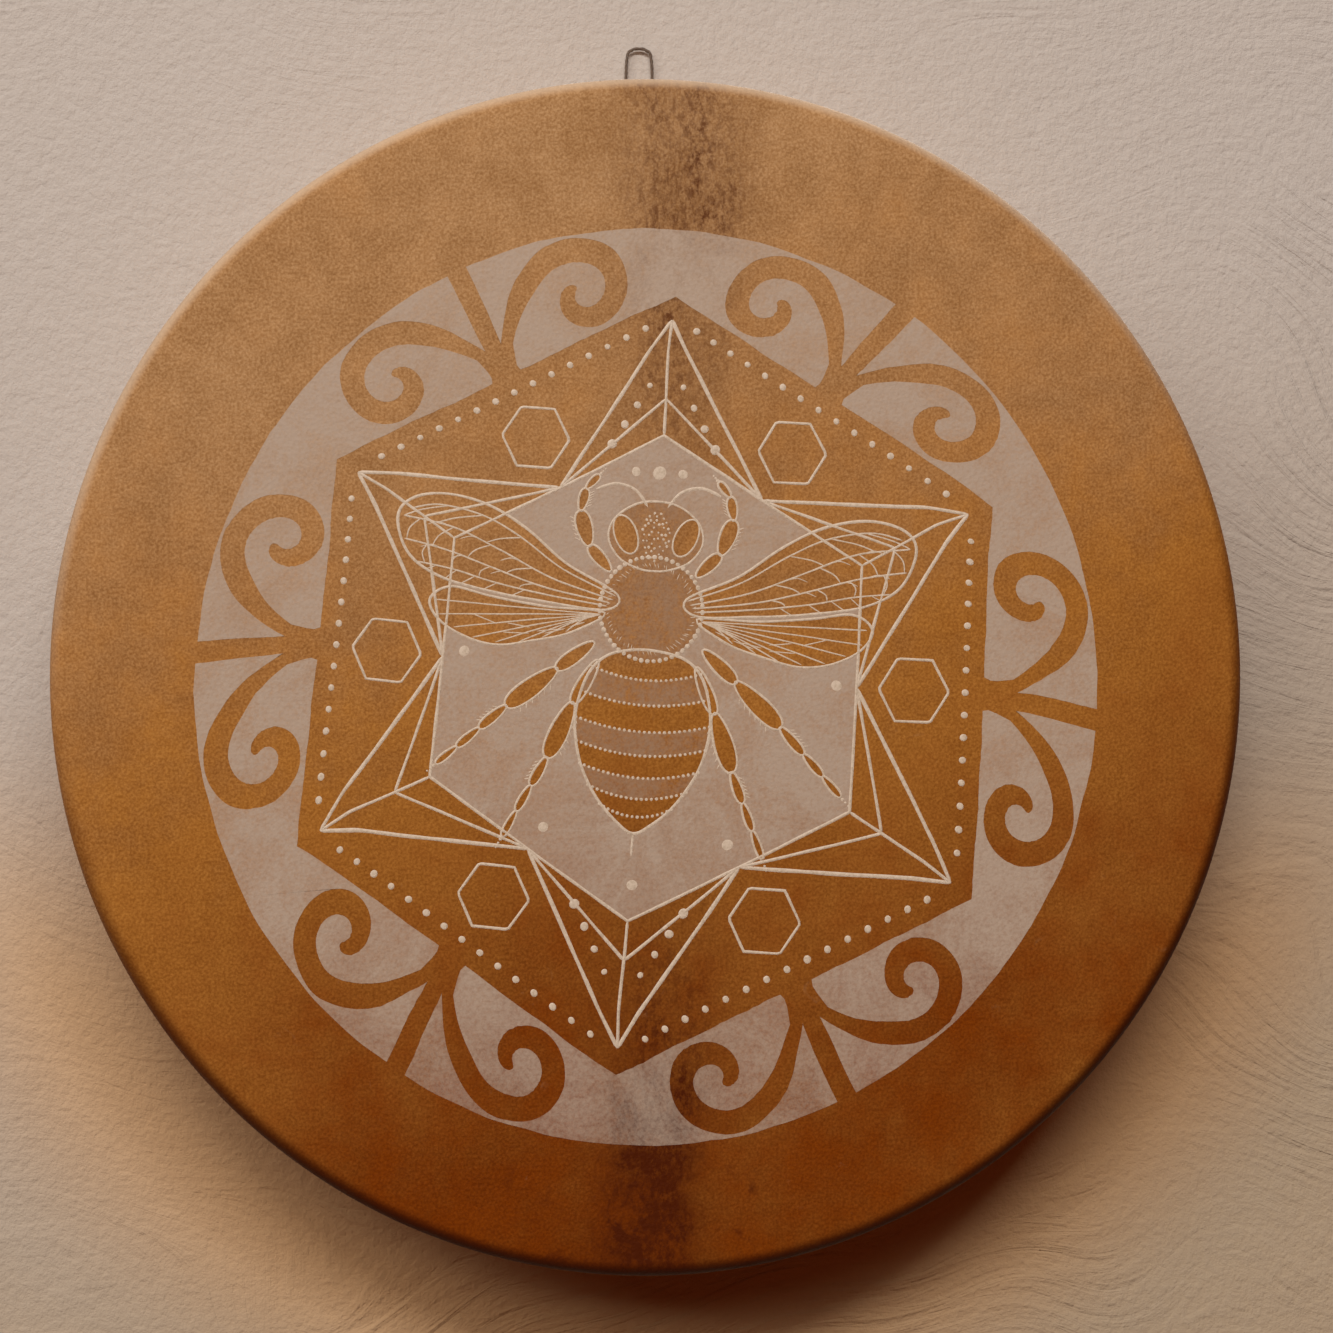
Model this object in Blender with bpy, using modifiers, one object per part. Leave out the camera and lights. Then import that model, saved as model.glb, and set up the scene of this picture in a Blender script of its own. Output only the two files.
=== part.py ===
"""Frame drum: a rawhide head laced over a bent-wood hoop to a steel grip ring.

Metres, +Z up. The origin is the centre of the playing face. The drum hangs with its axis along Y:
the playing face looks along -Y, and everything else lies behind it at +Y.
"""

from math import atan2, cos, pi, radians, sin

import bmesh
import bpy
from mathutils import Vector

OBJECT_NAME = "frame_drum"

# Driving dimensions
DRUM_RADIUS = 0.203
DRUM_DEPTH = 0.065
HIDE = 0.0012  # thickness of the rawhide
GAP = 0.0003  # left between pieces that touch
TURN_STEPS = 64  # facets round the head and the hoop

# Drum head
SHOULDER_RADIUS = 0.005  # where the hide turns from the face down the wall
BACK_RADIUS = 0.004  # where it turns in over the hoop's back edge
HEM_FOLD_RADIUS = 0.1925  # the flat back rim ends here and the pulled hem slopes forward
HEM_RADIUS = 0.177  # inner edge of the hem
HEM_DROP = 0.0065  # how far the hem's edge is pulled forward
ARC_STEPS = 3  # straight pieces in a rounded corner

# Hoop
HOOP_THICKNESS = 0.008
BEARING_WIDTH = 0.0045  # flat that carries the head, from the hoop's outside
BEARING_SLOPE = 0.0035  # how far the inner side of the bearing edge falls away

# Lacing
FANS = 4
LACES_PER_FAN = 4
LACE_COUNT = FANS * LACES_PER_FAN
HOLE_PITCH = 2 * pi / (2 * LACE_COUNT)
HOLE_CIRCLE = 0.184
HOLE_RADIUS = 0.0022
HOLE_SIDES = 8
PUNCH_LENGTH = 0.010
LACE_RADIUS = 0.0015
KNOT_SWELL = (0.9, 1.7, 1.9, 1.7, 1.0)  # lace radius along the knot, times LACE_RADIUS
KNOT_LENGTH = 0.005
KNOT_CLEARANCE = 0.0016  # from the hem's inner face, which slopes across the knot
RING_PITCH = radians(12.5)  # between neighbouring laces of a fan, on the grip ring
WRAP_POINTS = 7  # points of a lace's half turn round the ring
WRAP_DRIFT = 0.001  # sideways shift of that half turn, each way

# Grip ring and its leather
RING_RADIUS = 0.034
RING_WIRE = 0.003
RING_Y = 0.0555
RING_SEGMENTS = 48
WIRE_SIDES = 10
LEATHER = 0.0016
LEATHER_HALF_ARC = radians(17)
LEATHER_POINTS = 9
BORE_EXTRA = 0.00045  # the wrap's bore over the wire's radius
BORE_OVER = radians(4)  # how far the bore's cutter runs out past both ends of the wrap

# Hanging loop
CORD_RADIUS = 0.0006
CORD_KNOT_SWELL = 2.3
LOOP_PIVOT_Y = 0.0540
LOOP_PIVOT_Z = 0.110
LOOP_TOP_Z = DRUM_RADIUS + 0.022
LOOP_BACK_Y = DRUM_DEPTH + GAP + CORD_RADIUS
LOOP_TOP_HALF_WIDTH = 0.0044
LOOP_CLEARANCE = 0.0008  # sideways, from the strands that it goes round
ROUTE_STEPS = 3  # points read from the smooth curve for each stretch of a route

# Colours
HIDE_COLOUR = (0.40, 0.19, 0.07)
WOOD_COLOUR = (0.45, 0.28, 0.14)
LACE_COLOUR = (0.62, 0.45, 0.25)
STEEL_COLOUR = (0.55, 0.54, 0.52)
LEATHER_COLOUR = (0.12, 0.055, 0.025)
CORD_COLOUR = (0.10, 0.07, 0.05)

FRONT_UP = (pi / 2, pi / TURN_STEPS, 0)  # local +Z looks along -Y, half a facet round the axis


def clear_scene():
    for item in list(bpy.data.objects):
        bpy.data.objects.remove(item)


def make_collection(name):
    collection = bpy.data.collections.new(name)
    bpy.context.scene.collection.children.link(collection)
    return collection


def make_material(name, colour, roughness, metallic=0.0):
    material = bpy.data.materials.new(name)
    material.use_nodes = True
    shader = material.node_tree.nodes["Principled BSDF"]
    shader.inputs["Base Color"].default_value = (*colour, 1)
    shader.inputs["Roughness"].default_value = roughness
    shader.inputs["Metallic"].default_value = metallic
    return material


def hide_material():
    return make_material("hide", HIDE_COLOUR, 0.6)


def wood_material():
    return make_material("wood", WOOD_COLOUR, 0.55)


def lace_material():
    return make_material("lace", LACE_COLOUR, 0.5)


def steel_material():
    return make_material("steel", STEEL_COLOUR, 0.35, metallic=1.0)


def leather_material():
    return make_material("wrap_leather", LEATHER_COLOUR, 0.6)


def cord_material():
    return make_material("cord", CORD_COLOUR, 0.8)


def add_object(name, data, collection):
    item = bpy.data.objects.new(name, data)
    collection.objects.link(item)
    return item


def shade(mesh):
    mesh.shade_smooth()
    mesh.set_sharp_from_angle(angle=radians(30))


def polar(radius, angle, y):
    """A point at that radius and angle round the drum's axis; angle 0 is +X and 90 degrees is +Z."""
    return Vector((radius * cos(angle), y, radius * sin(angle)))


def arc(centre, radius, start, end):
    """Points (r, z) on an arc, both ends included, with its angles in degrees."""
    angles = [radians(start + (end - start) * i / ARC_STEPS) for i in range(ARC_STEPS + 1)]
    return [(centre[0] + radius * cos(a), centre[1] + radius * sin(a)) for a in angles]


def turned(name, profile, closed, collection):
    """A profile of (r, z) points turned round the local Z axis, with local +Z towards the player."""
    mesh = bpy.data.meshes.new(name)
    edges = [(i, i + 1) for i in range(len(profile) - 1)]
    if closed:
        edges.append((len(profile) - 1, 0))
    mesh.from_pydata([(r, 0, z) for r, z in profile], edges, [])
    item = add_object(name, mesh, collection)
    item.rotation_euler = FRONT_UP
    screw = item.modifiers.new("turn", "SCREW")
    screw.axis = "Z"
    screw.angle = 2 * pi
    screw.steps = TURN_STEPS
    screw.render_steps = TURN_STEPS
    screw.use_merge_vertices = True
    screw.merge_threshold = 0.00001
    screw.use_smooth_shade = True
    return item


def as_mesh(item, collection):
    """The same shape as a mesh object, with its modifiers or curve bevel applied and its caps welded."""
    bpy.context.view_layer.update()
    evaluated = item.evaluated_get(bpy.context.evaluated_depsgraph_get())
    mesh = bpy.data.meshes.new_from_object(evaluated)
    name = item.name
    place = item.matrix_world.copy()
    bpy.data.objects.remove(item)
    weld = bmesh.new()
    weld.from_mesh(mesh)
    bmesh.ops.remove_doubles(weld, verts=weld.verts, dist=0.000001)
    weld.to_mesh(mesh)
    weld.free()
    solid = add_object(name, mesh, collection)
    solid.matrix_world = place
    return solid


def cut(item, cutter):
    boolean = item.modifiers.new("cut", "BOOLEAN")
    boolean.operation = "DIFFERENCE"
    boolean.solver = "EXACT"
    boolean.object = cutter
    cutter.hide_render = True
    cutter.display_type = "WIRE"


def tube(name, points, radius, collection, swell=None, cyclic=False, detail=2):
    """A round cord through the points; swell gives each point's radius as a multiple of radius."""
    curve = bpy.data.curves.new(name, "CURVE")
    curve.dimensions = "3D"
    curve.bevel_depth = radius
    curve.bevel_resolution = detail
    curve.use_fill_caps = not cyclic
    spline = curve.splines.new("POLY")
    spline.points.add(len(points) - 1)
    for i, point in enumerate(points):
        spline.points[i].co = (*point, 1)
        spline.points[i].radius = swell[i] if swell else 1.0
    spline.use_cyclic_u = cyclic
    return add_object(name, curve, collection)


def smooth_route(points, steps):
    """Points on the closed smooth curve through the route's own points."""
    count = len(points)
    route = []
    for i in range(count):
        before, here = points[i - 1], points[i]
        there, after = points[(i + 1) % count], points[(i + 2) % count]
        for step in range(steps):
            t = step / steps
            route.append(
                0.5 * (2 * here + (there - before) * t
                       + (2 * before - 5 * here + 4 * there - after) * t**2
                       + (3 * here - before - 3 * there + after) * t**3)
            )
    return route


def head_profile():
    """The hide in section, (r, z) with z = 0 at the playing face and the drum below it."""
    shoulder = (DRUM_RADIUS - SHOULDER_RADIUS, -SHOULDER_RADIUS)
    back = (DRUM_RADIUS - BACK_RADIUS, BACK_RADIUS - DRUM_DEPTH)
    slope = atan2(HEM_DROP, HEM_FOLD_RADIUS - HEM_RADIUS)
    hem_edge = (HEM_RADIUS, HEM_DROP - DRUM_DEPTH)
    outside = [(0, 0)]
    outside += arc(shoulder, SHOULDER_RADIUS, 90, 0)
    outside += arc(back, BACK_RADIUS, 0, -90)
    outside += [(HEM_FOLD_RADIUS, -DRUM_DEPTH), hem_edge]
    fold_inside = HEM_FOLD_RADIUS + HIDE * (1 - cos(slope)) / sin(slope)
    inside = [(hem_edge[0] + HIDE * sin(slope), hem_edge[1] + HIDE * cos(slope))]
    inside += [(fold_inside, HIDE - DRUM_DEPTH)]
    inside += arc(back, BACK_RADIUS - HIDE, -90, 0)
    inside += arc(shoulder, SHOULDER_RADIUS - HIDE, 0, 90)
    inside += [(0, -HIDE)]
    return outside + inside


def lace_index_angles(index):
    """The angles of a lace's two holes and of its place on the grip ring."""
    fan, place = divmod(index, LACES_PER_FAN)
    offset = place - (LACES_PER_FAN - 1) / 2
    fan_angle = fan * 2 * pi / FANS
    middle = fan_angle + offset * 2 * HOLE_PITCH
    return middle - HOLE_PITCH / 2, middle + HOLE_PITCH / 2, fan_angle + offset * RING_PITCH


def hem_surface_y(radius):
    """Where the sloping hem's back face lies at that radius."""
    return DRUM_DEPTH - HEM_DROP * (HEM_FOLD_RADIUS - radius) / (HEM_FOLD_RADIUS - HEM_RADIUS)


def make_hole_cutters(collection):
    """One straight punch for each lacing hole, along Y, joined as one cutter."""
    mesh = bpy.data.meshes.new("hem_hole_cutters")
    punches = bmesh.new()
    for index in range(LACE_COUNT):
        for angle in lace_index_angles(index)[:2]:
            ring = bmesh.ops.create_cone(
                punches, cap_ends=True, segments=HOLE_SIDES,
                radius1=HOLE_RADIUS, radius2=HOLE_RADIUS, depth=PUNCH_LENGTH,
            )
            centre = polar(HOLE_CIRCLE, angle, hem_surface_y(HOLE_CIRCLE))
            for vertex in ring["verts"]:
                x, y, z = vertex.co
                vertex.co = centre + Vector((x, -z, y))
    punches.to_mesh(mesh)
    punches.free()
    return add_object("hem_hole_cutters", mesh, collection)


def make_head(parts, cutters):
    head = turned("drum_head", head_profile(), False, parts)
    cut(head, make_hole_cutters(cutters))
    head.data.materials.append(hide_material())


def make_hoop(parts):
    outer = DRUM_RADIUS - HIDE - GAP
    inner = outer - HOOP_THICKNESS
    front = -HIDE - GAP
    back = HIDE + GAP - DRUM_DEPTH
    shoulder = (DRUM_RADIUS - SHOULDER_RADIUS, -SHOULDER_RADIUS)
    back_corner = (DRUM_RADIUS - BACK_RADIUS, BACK_RADIUS - DRUM_DEPTH)
    profile = [(inner, front - BEARING_SLOPE), (outer - BEARING_WIDTH, front)]
    profile += arc(shoulder, SHOULDER_RADIUS - HIDE - GAP, 90, 0)
    profile += arc(back_corner, BACK_RADIUS - HIDE - GAP, 0, -90)
    profile += [(inner, back)]
    hoop = turned("hoop", profile, True, parts)
    hoop.data.materials.append(wood_material())


def make_grip_ring(parts):
    bpy.ops.mesh.primitive_torus_add(
        major_segments=RING_SEGMENTS, minor_segments=WIRE_SIDES,
        major_radius=RING_RADIUS, minor_radius=RING_WIRE,
        location=(0, RING_Y, 0), rotation=(pi / 2, 0, 0),
    )
    ring = bpy.context.active_object
    ring.name = "grip_ring"
    ring.data.name = "grip_ring"
    for collection in list(ring.users_collection):
        collection.objects.unlink(ring)
    parts.objects.link(ring)
    shade(ring.data)
    ring.data.materials.append(steel_material())


def hole_end(angle, towards):
    """A lace's end: its knot inside the hem, the hole, and the bend inwards. Points and radii."""
    outside = hem_surface_y(HOLE_CIRCLE)
    knot_top = outside - HIDE - KNOT_CLEARANCE
    hole = polar(HOLE_CIRCLE, angle, 0)
    inwards = towards - hole
    inwards.y = 0
    inwards.normalize()
    points = []
    for i in range(len(KNOT_SWELL)):
        y = knot_top - KNOT_LENGTH * (1 - i / (len(KNOT_SWELL) - 1))
        points.append(hole + Vector((0, y, 0)))
    over = (0.0002, 0.0009, LACE_RADIUS)  # height over the hem where the lace leaves the hole
    along = (0.0, 0.0004, LACE_RADIUS)  # and how far it has turned inwards there
    for height, reach in zip(over, along):
        points.append(hole + reach * inwards + Vector((0, outside + height, 0)))
    return points, list(KNOT_SWELL) + [1.0] * len(over)


def ring_turn(first, second, ring_angle):
    """A lace's half turn round the ring: over its back, round its inner side and out in front."""
    centre = polar(RING_RADIUS, ring_angle, RING_Y)
    outwards = (polar(HOLE_CIRCLE, (first + second) / 2, RING_Y) - centre).normalized()
    sideways = Vector((-outwards.z, 0, outwards.x))
    reach = RING_WIRE + LACE_RADIUS + 2 * GAP
    back = Vector((0, 1, 0))
    points = []
    for i in range(WRAP_POINTS):
        share = i / (WRAP_POINTS - 1)
        turn = pi * share
        drift = WRAP_DRIFT * (2 * share - 1)
        points.append(
            centre + reach * (cos(turn) * back - sin(turn) * outwards) + drift * sideways
        )
    return points


def make_laces(parts):
    material = lace_material()
    for index in range(LACE_COUNT):
        first, second, ring_angle = lace_index_angles(index)
        turn = ring_turn(first, second, ring_angle)
        start, start_swell = hole_end(first, turn[0])
        end, end_swell = hole_end(second, turn[-1])
        points = start + turn + end[::-1]
        swell = start_swell + [1.0] * len(turn) + end_swell[::-1]
        lace = tube(f"lace_{index + 1:02d}", points, LACE_RADIUS, parts, swell, detail=1)
        lace = as_mesh(lace, parts)
        shade(lace.data)
        lace.data.materials.append(material)


def ring_arc(middle, half_arc):
    angles = [middle + half_arc * (2 * i / (LEATHER_POINTS - 1) - 1) for i in range(LEATHER_POINTS)]
    return [polar(RING_RADIUS, angle, RING_Y) for angle in angles]


def make_ring_wraps(parts, cutters):
    """Leather sleeves on the four arcs of the ring between the fans of laces."""
    material = leather_material()
    sleeve_radius = RING_WIRE + GAP + LEATHER
    for fan in range(FANS):
        middle = (fan + 0.5) * 2 * pi / FANS
        name = f"ring_wrap_{fan + 1}"
        sleeve = tube(name, ring_arc(middle, LEATHER_HALF_ARC), sleeve_radius, parts, detail=3)
        sleeve = as_mesh(sleeve, parts)
        bore = tube(
            f"{name}_bore", ring_arc(middle, LEATHER_HALF_ARC + BORE_OVER),
            RING_WIRE + BORE_EXTRA, cutters, detail=3,
        )
        bore = as_mesh(bore, cutters)
        cut(sleeve, bore)
        shade(sleeve.data)
        sleeve.data.materials.append(material)


def middle_strand_x(z):
    """How far out the strands nearest the top of the drum are, at that height."""
    ring = polar(RING_RADIUS, pi / 2 - RING_PITCH / 2, 0)
    hole = polar(HOLE_CIRCLE, pi / 2 - HOLE_PITCH / 2, 0)
    return ring.x + (hole.x - ring.x) * (z - ring.z) / (hole.z - ring.z)


def loop_route():
    """The hanging loop: across in front of the two middle strands, round them and up behind the hem."""
    beside = middle_strand_x(LOOP_PIVOT_Z) + LACE_RADIUS + CORD_RADIUS + LOOP_CLEARANCE
    side = [
        (beside - 0.0045, LOOP_PIVOT_Y, LOOP_PIVOT_Z),
        (beside - 0.0006, LOOP_PIVOT_Y + 0.0016, LOOP_PIVOT_Z + 0.0010),
        (beside + 0.0004, LOOP_PIVOT_Y + 0.0058, LOOP_PIVOT_Z + 0.0044),
        (beside + 0.0004, LOOP_PIVOT_Y + 0.0096, LOOP_PIVOT_Z + 0.0090),
        (beside - 0.0008, LOOP_BACK_Y - 0.0006, LOOP_PIVOT_Z + 0.0190),
        (beside - 0.0044, LOOP_BACK_Y, LOOP_PIVOT_Z + 0.0540),
        (0.0054, LOOP_BACK_Y, DRUM_RADIUS - 0.0020),
        (LOOP_TOP_HALF_WIDTH, LOOP_BACK_Y, LOOP_TOP_Z - 0.0040),
        (0.6 * LOOP_TOP_HALF_WIDTH, LOOP_BACK_Y, LOOP_TOP_Z - 0.0006),
    ]
    right = [Vector(point) for point in side]
    left = [Vector((-point.x, point.y, point.z)) for point in reversed(right)]
    top = Vector((0, LOOP_BACK_Y, LOOP_TOP_Z))
    bottom = Vector((0, LOOP_PIVOT_Y, LOOP_PIVOT_Z))
    return [bottom] + right + [top] + left


def make_hanging_loop(parts):
    """Its origin is on the hinge line, the straight stretch that passes in front of the strands."""
    pivot = Vector((0, LOOP_PIVOT_Y, LOOP_PIVOT_Z))
    points = [point - pivot for point in smooth_route(loop_route(), ROUTE_STEPS)]
    swell = [1.0] * len(points)
    swell[0] = CORD_KNOT_SWELL
    swell[1] = swell[-1] = 0.75 * CORD_KNOT_SWELL
    loop = tube("hanging_loop", points, CORD_RADIUS, parts, swell, cyclic=True)
    loop.location = pivot
    loop = as_mesh(loop, parts)
    shade(loop.data)
    loop.data.materials.append(cord_material())


def build():
    clear_scene()
    parts = make_collection(OBJECT_NAME)
    cutters = make_collection("cutters")
    make_hoop(parts)
    make_head(parts, cutters)
    make_grip_ring(parts)
    make_laces(parts)
    make_ring_wraps(parts, cutters)
    make_hanging_loop(parts)


build()
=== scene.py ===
import random
from math import atan2, ceil, cos, degrees, exp, hypot, pi, radians, sin, sqrt

import bpy
import numpy as np
from mathutils import Matrix, Vector, geometry, noise


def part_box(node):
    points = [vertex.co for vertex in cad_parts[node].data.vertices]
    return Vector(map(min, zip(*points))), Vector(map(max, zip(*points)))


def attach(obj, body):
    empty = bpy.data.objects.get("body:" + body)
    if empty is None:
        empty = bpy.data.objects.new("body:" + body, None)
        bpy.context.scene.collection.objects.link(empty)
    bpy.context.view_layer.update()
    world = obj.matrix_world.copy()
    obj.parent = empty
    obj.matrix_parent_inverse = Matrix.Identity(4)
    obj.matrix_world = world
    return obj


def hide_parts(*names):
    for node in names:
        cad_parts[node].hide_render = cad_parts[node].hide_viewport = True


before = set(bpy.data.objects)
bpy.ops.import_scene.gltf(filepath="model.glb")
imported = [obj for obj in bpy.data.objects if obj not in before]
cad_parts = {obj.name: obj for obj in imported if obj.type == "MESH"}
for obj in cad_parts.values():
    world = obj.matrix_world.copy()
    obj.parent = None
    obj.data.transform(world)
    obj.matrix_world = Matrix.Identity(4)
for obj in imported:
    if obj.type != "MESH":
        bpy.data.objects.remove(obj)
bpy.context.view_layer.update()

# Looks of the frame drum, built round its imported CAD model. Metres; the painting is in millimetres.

HEAD_LOW, HEAD_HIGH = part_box("drum_head")
RADIUS = HEAD_HIGH.x
DEPTH = HEAD_HIGH.y

# Shared with the CAD's source
HIDE = 0.0012
HEM_FOLD_RADIUS = 0.1925
HEM_RADIUS = 0.177
HEM_DROP = 0.0065
HEM_SLOPE = atan2(HEM_DROP, HEM_FOLD_RADIUS - HEM_RADIUS)
SHOULDER_RADIUS = 0.005
BACK_RADIUS = 0.004
HOOP_THICKNESS = 0.008
GAP = 0.0003
FANS = 4
LACES_PER_FAN = 4
LACE_COUNT = FANS * LACES_PER_FAN
HOLE_COUNT = 2 * LACE_COUNT
HOLE_PITCH = 2 * pi / HOLE_COUNT
HOLE_CIRCLE = 0.184
HOLE_RADIUS = 0.0022
LACE_RADIUS = 0.0015
KNOT_SWELL = (0.9, 1.7, 1.9, 1.7, 1.0)
KNOT_LENGTH = 0.005
KNOT_CLEARANCE = 0.0016
RING_PITCH = radians(12.5)
WRAP_POINTS = 13
WRAP_DRIFT = 0.001
RING_RADIUS = 0.034
RING_WIRE = 0.003
RING_Y = 0.0555
LEATHER = 0.0016
LEATHER_HALF_ARC = radians(17)
CORD_RADIUS = 0.0006
PIVOT_Y = 0.0540
PIVOT_Z = 0.110
CAD_RADIUS = 0.203
LOOP_TOP_Z = CAD_RADIUS + 0.022
LOOP_BACK_Y = DEPTH + GAP + CORD_RADIUS
LOOP_TOP_HALF_WIDTH = 0.0044
LOOP_CLEARANCE = 0.0008

# The painting, millimetres in its own frame, which is turned a little on the head
ART_CENTRE = (-0.0019, -0.0033)
ART_TURN = radians(-4.35)
ART_WIDTH = 0.985  # the painting is a little narrower than it is tall
ART_HEIGHT = 0.995
INNER_SHIFT = Vector((-1.7, 4.1))  # the star sits off the band's centre
INNER_REACH = 124.0
INNER_WARP = 3.5  # and its three long lines miss each other in the middle
INNER_WARP_ANGLE = 218
INNER_LIMIT = 157.0  # both fade out towards the band's edge
INNER_BLEND = 45.0
BAND_RADIUS = 155.5
WINDOW_VERTEX = 132.6
WINDOW_APOTHEM = WINDOW_VERTEX * cos(pi / 6)
STAR_TIP = 123.7
HUB_VERTEX = 82.5
STAR_VALLEY = HUB_VERTEX * cos(pi / 6)
RIDGE_END = 95.5
DOTTED_APOTHEM = 108.6
DOT_SPACING = 7.45
SMALL_HEXAGON_CENTRE = 91.0
SMALL_HEXAGON_VERTEX = 12.0
WASH_PROUD = 0.06
BARE_PROUD = 0.08
TINT_PROUD = 0.10
SUNK = -0.02  # the paint's underside lies that far inside the hide
LINE_HEIGHT = 0.16
LINE_SECTION = ((-1.0, 0.0), (-0.72, 0.66), (0.0, 1.0), (0.72, 0.66), (1.0, 0.0))
DISC_HEIGHT = 0.10


# Node materials ------------------------------------------------------------------------------------------


def choose_shader(tree, switch, off, on, output):
    """Shows one shader where the switch is 0 and the other where it is 1."""
    choose = tree.nodes.new("ShaderNodeMixShader")
    for socket, source in zip(choose.inputs, (switch, off, on)):
        tree.links.new(source, socket)
    tree.links.new(choose.outputs[0], tree.nodes[output].inputs["Surface"])


class Graph:
    """A material's node tree, with short calls that add nodes and join them up."""

    def __init__(self, name):
        self.material = bpy.data.materials.new(name)
        self.material.use_nodes = True
        self.tree = self.material.node_tree
        self.shader = self.tree.nodes["Principled BSDF"]
        self.place = self.new("TexCoord").outputs["Object"]

    def new(self, kind):
        return self.tree.nodes.new("ShaderNode" + kind)

    def put(self, value, socket):
        if isinstance(value, bpy.types.NodeSocket):
            self.tree.links.new(value, socket)
        elif isinstance(value, tuple) and len(value) == 3 and socket.type == "RGBA":
            socket.default_value = (*value, 1.0)
        else:
            socket.default_value = value

    def put_all(self, values, sockets):
        for value, socket in zip(values, sockets):
            self.put(value, socket)

    def math(self, operation, *values):
        node = self.new("Math")
        node.operation = operation
        self.put_all(values, node.inputs)
        return node.outputs[0]

    def times(self, product, *values):
        for value in values:
            product = self.math("MULTIPLY", product, value)
        return product

    def plus(self, total, *values):
        for value in values:
            total = self.math("ADD", total, value)
        return total

    def minus(self, first, second):
        return self.math("SUBTRACT", first, second)

    def clamped(self, value):
        """The value kept between 0 and 1."""
        node = self.new("Clamp")
        self.put(value, node.inputs["Value"])
        return node.outputs[0]

    def from_axis(self, x, z):
        """Distance from the drum's axis."""
        return self.math("SQRT", self.plus(self.times(x, x), self.times(z, z)))

    def mix(self, share, first, second, blend="MIX"):
        node = self.new("Mix")
        node.data_type = "RGBA"
        node.blend_type = blend
        self.put_all((share, first, second), (node.inputs[0], node.inputs[6], node.inputs[7]))
        return node.outputs[2]

    def over(self, colour, other, mask, strength):
        """The colour with another one laid over it, at that strength where the mask is 1."""
        return self.mix(self.times(mask, strength), colour, other)

    def axes(self, vector=None):
        node = self.new("SeparateXYZ")
        self.put(vector or self.place, node.inputs[0])
        return node.outputs[:3]

    def vector(self, x, y, z):
        node = self.new("CombineXYZ")
        self.put_all((x, y, z), node.inputs)
        return node.outputs[0]

    def noise(self, scale, detail=2.0, rough=0.5, vector=None, distortion=0.0):
        node = self.new("TexNoise")
        self.put(vector or self.place, node.inputs["Vector"])
        names = ("Scale", "Detail", "Roughness", "Distortion")
        self.put_all((scale, detail, rough, distortion), [node.inputs[name] for name in names])
        return node.outputs[0]

    def cells(self, scale, feature="F1"):
        node = self.new("TexVoronoi")
        node.feature = feature
        self.put_all((self.place, scale), (node.inputs["Vector"], node.inputs["Scale"]))
        return node.outputs["Distance"]

    def ramp(self, value, low, high, start=0.0, end=1.0):
        """start up to low, end from high on, and a smooth step between."""
        node = self.new("MapRange")
        node.interpolation_type = "SMOOTHSTEP"
        self.put_all((value, low, high, start, end), node.inputs)
        return node.outputs[0]

    def bump(self, height, distance, normal=None):
        node = self.new("Bump")
        self.put_all((height, distance), (node.inputs["Height"], node.inputs["Distance"]))
        if normal:
            self.put(normal, node.inputs["Normal"])
        return node.outputs[0]

    def route_map(self):
        """Metres along the piece and share of the way round it, from the piece's own UV map."""
        node = self.new("UVMap")
        node.uv_map = "route"
        return self.axes(node.outputs[0])[:2]

    def finish(self, colour, roughness, normal, **uniform):
        names = ("Base Color", "Roughness", "Normal")
        self.put_all((colour, roughness, normal), [self.shader.inputs[name] for name in names])
        for name, value in uniform.items():
            self.shader.inputs[name.replace("_", " ")].default_value = value
        return self.material


# From the upper left towards the bottom: partly the hide's own tone, partly a painted sheen at the upper
# left and painted shade lower down
HIDE_LIGHT = (0.445, 0.248, 0.108)
HIDE_MIDDLE = (0.385, 0.153, 0.026)
HIDE_DEEP = (0.185, 0.036, 0.001)
# dark brown of the hide's real stains, also laid on the lower shoulder as painted shade
HIDE_STAIN_AND_SHADE = (0.075, 0.012, 0.002)
HIDE_SCUFF = (0.50, 0.30, 0.15)
# pale painted highlight along the upper left rim
HIDE_RIM_HIGHLIGHT = (0.68, 0.53, 0.38)
# near-black painted shade for the lowest part of the rim
HIDE_EDGE_SHADE = (0.022, 0.002, 0.0004)
HIDE_GLOSS = {"Specular_IOR_Level": 0.12, "Specular_Tint": (1.0, 0.66, 0.38, 1.0)}
HIDE_SHADE_SLANT = -0.22  # the hide is palest at the upper left: partly its own tone, partly painted light from there and painted shade towards the lower right
HIDE_RELIEF = 0.00012
SPINE_X = 0.0031  # where the dark stripe along the animal's back crosses the drum's middle
SPINE_LEAN = 0.029
SPINE_WANDER = 0.034
SPINE_HALF_WIDTH = 0.0175


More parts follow.
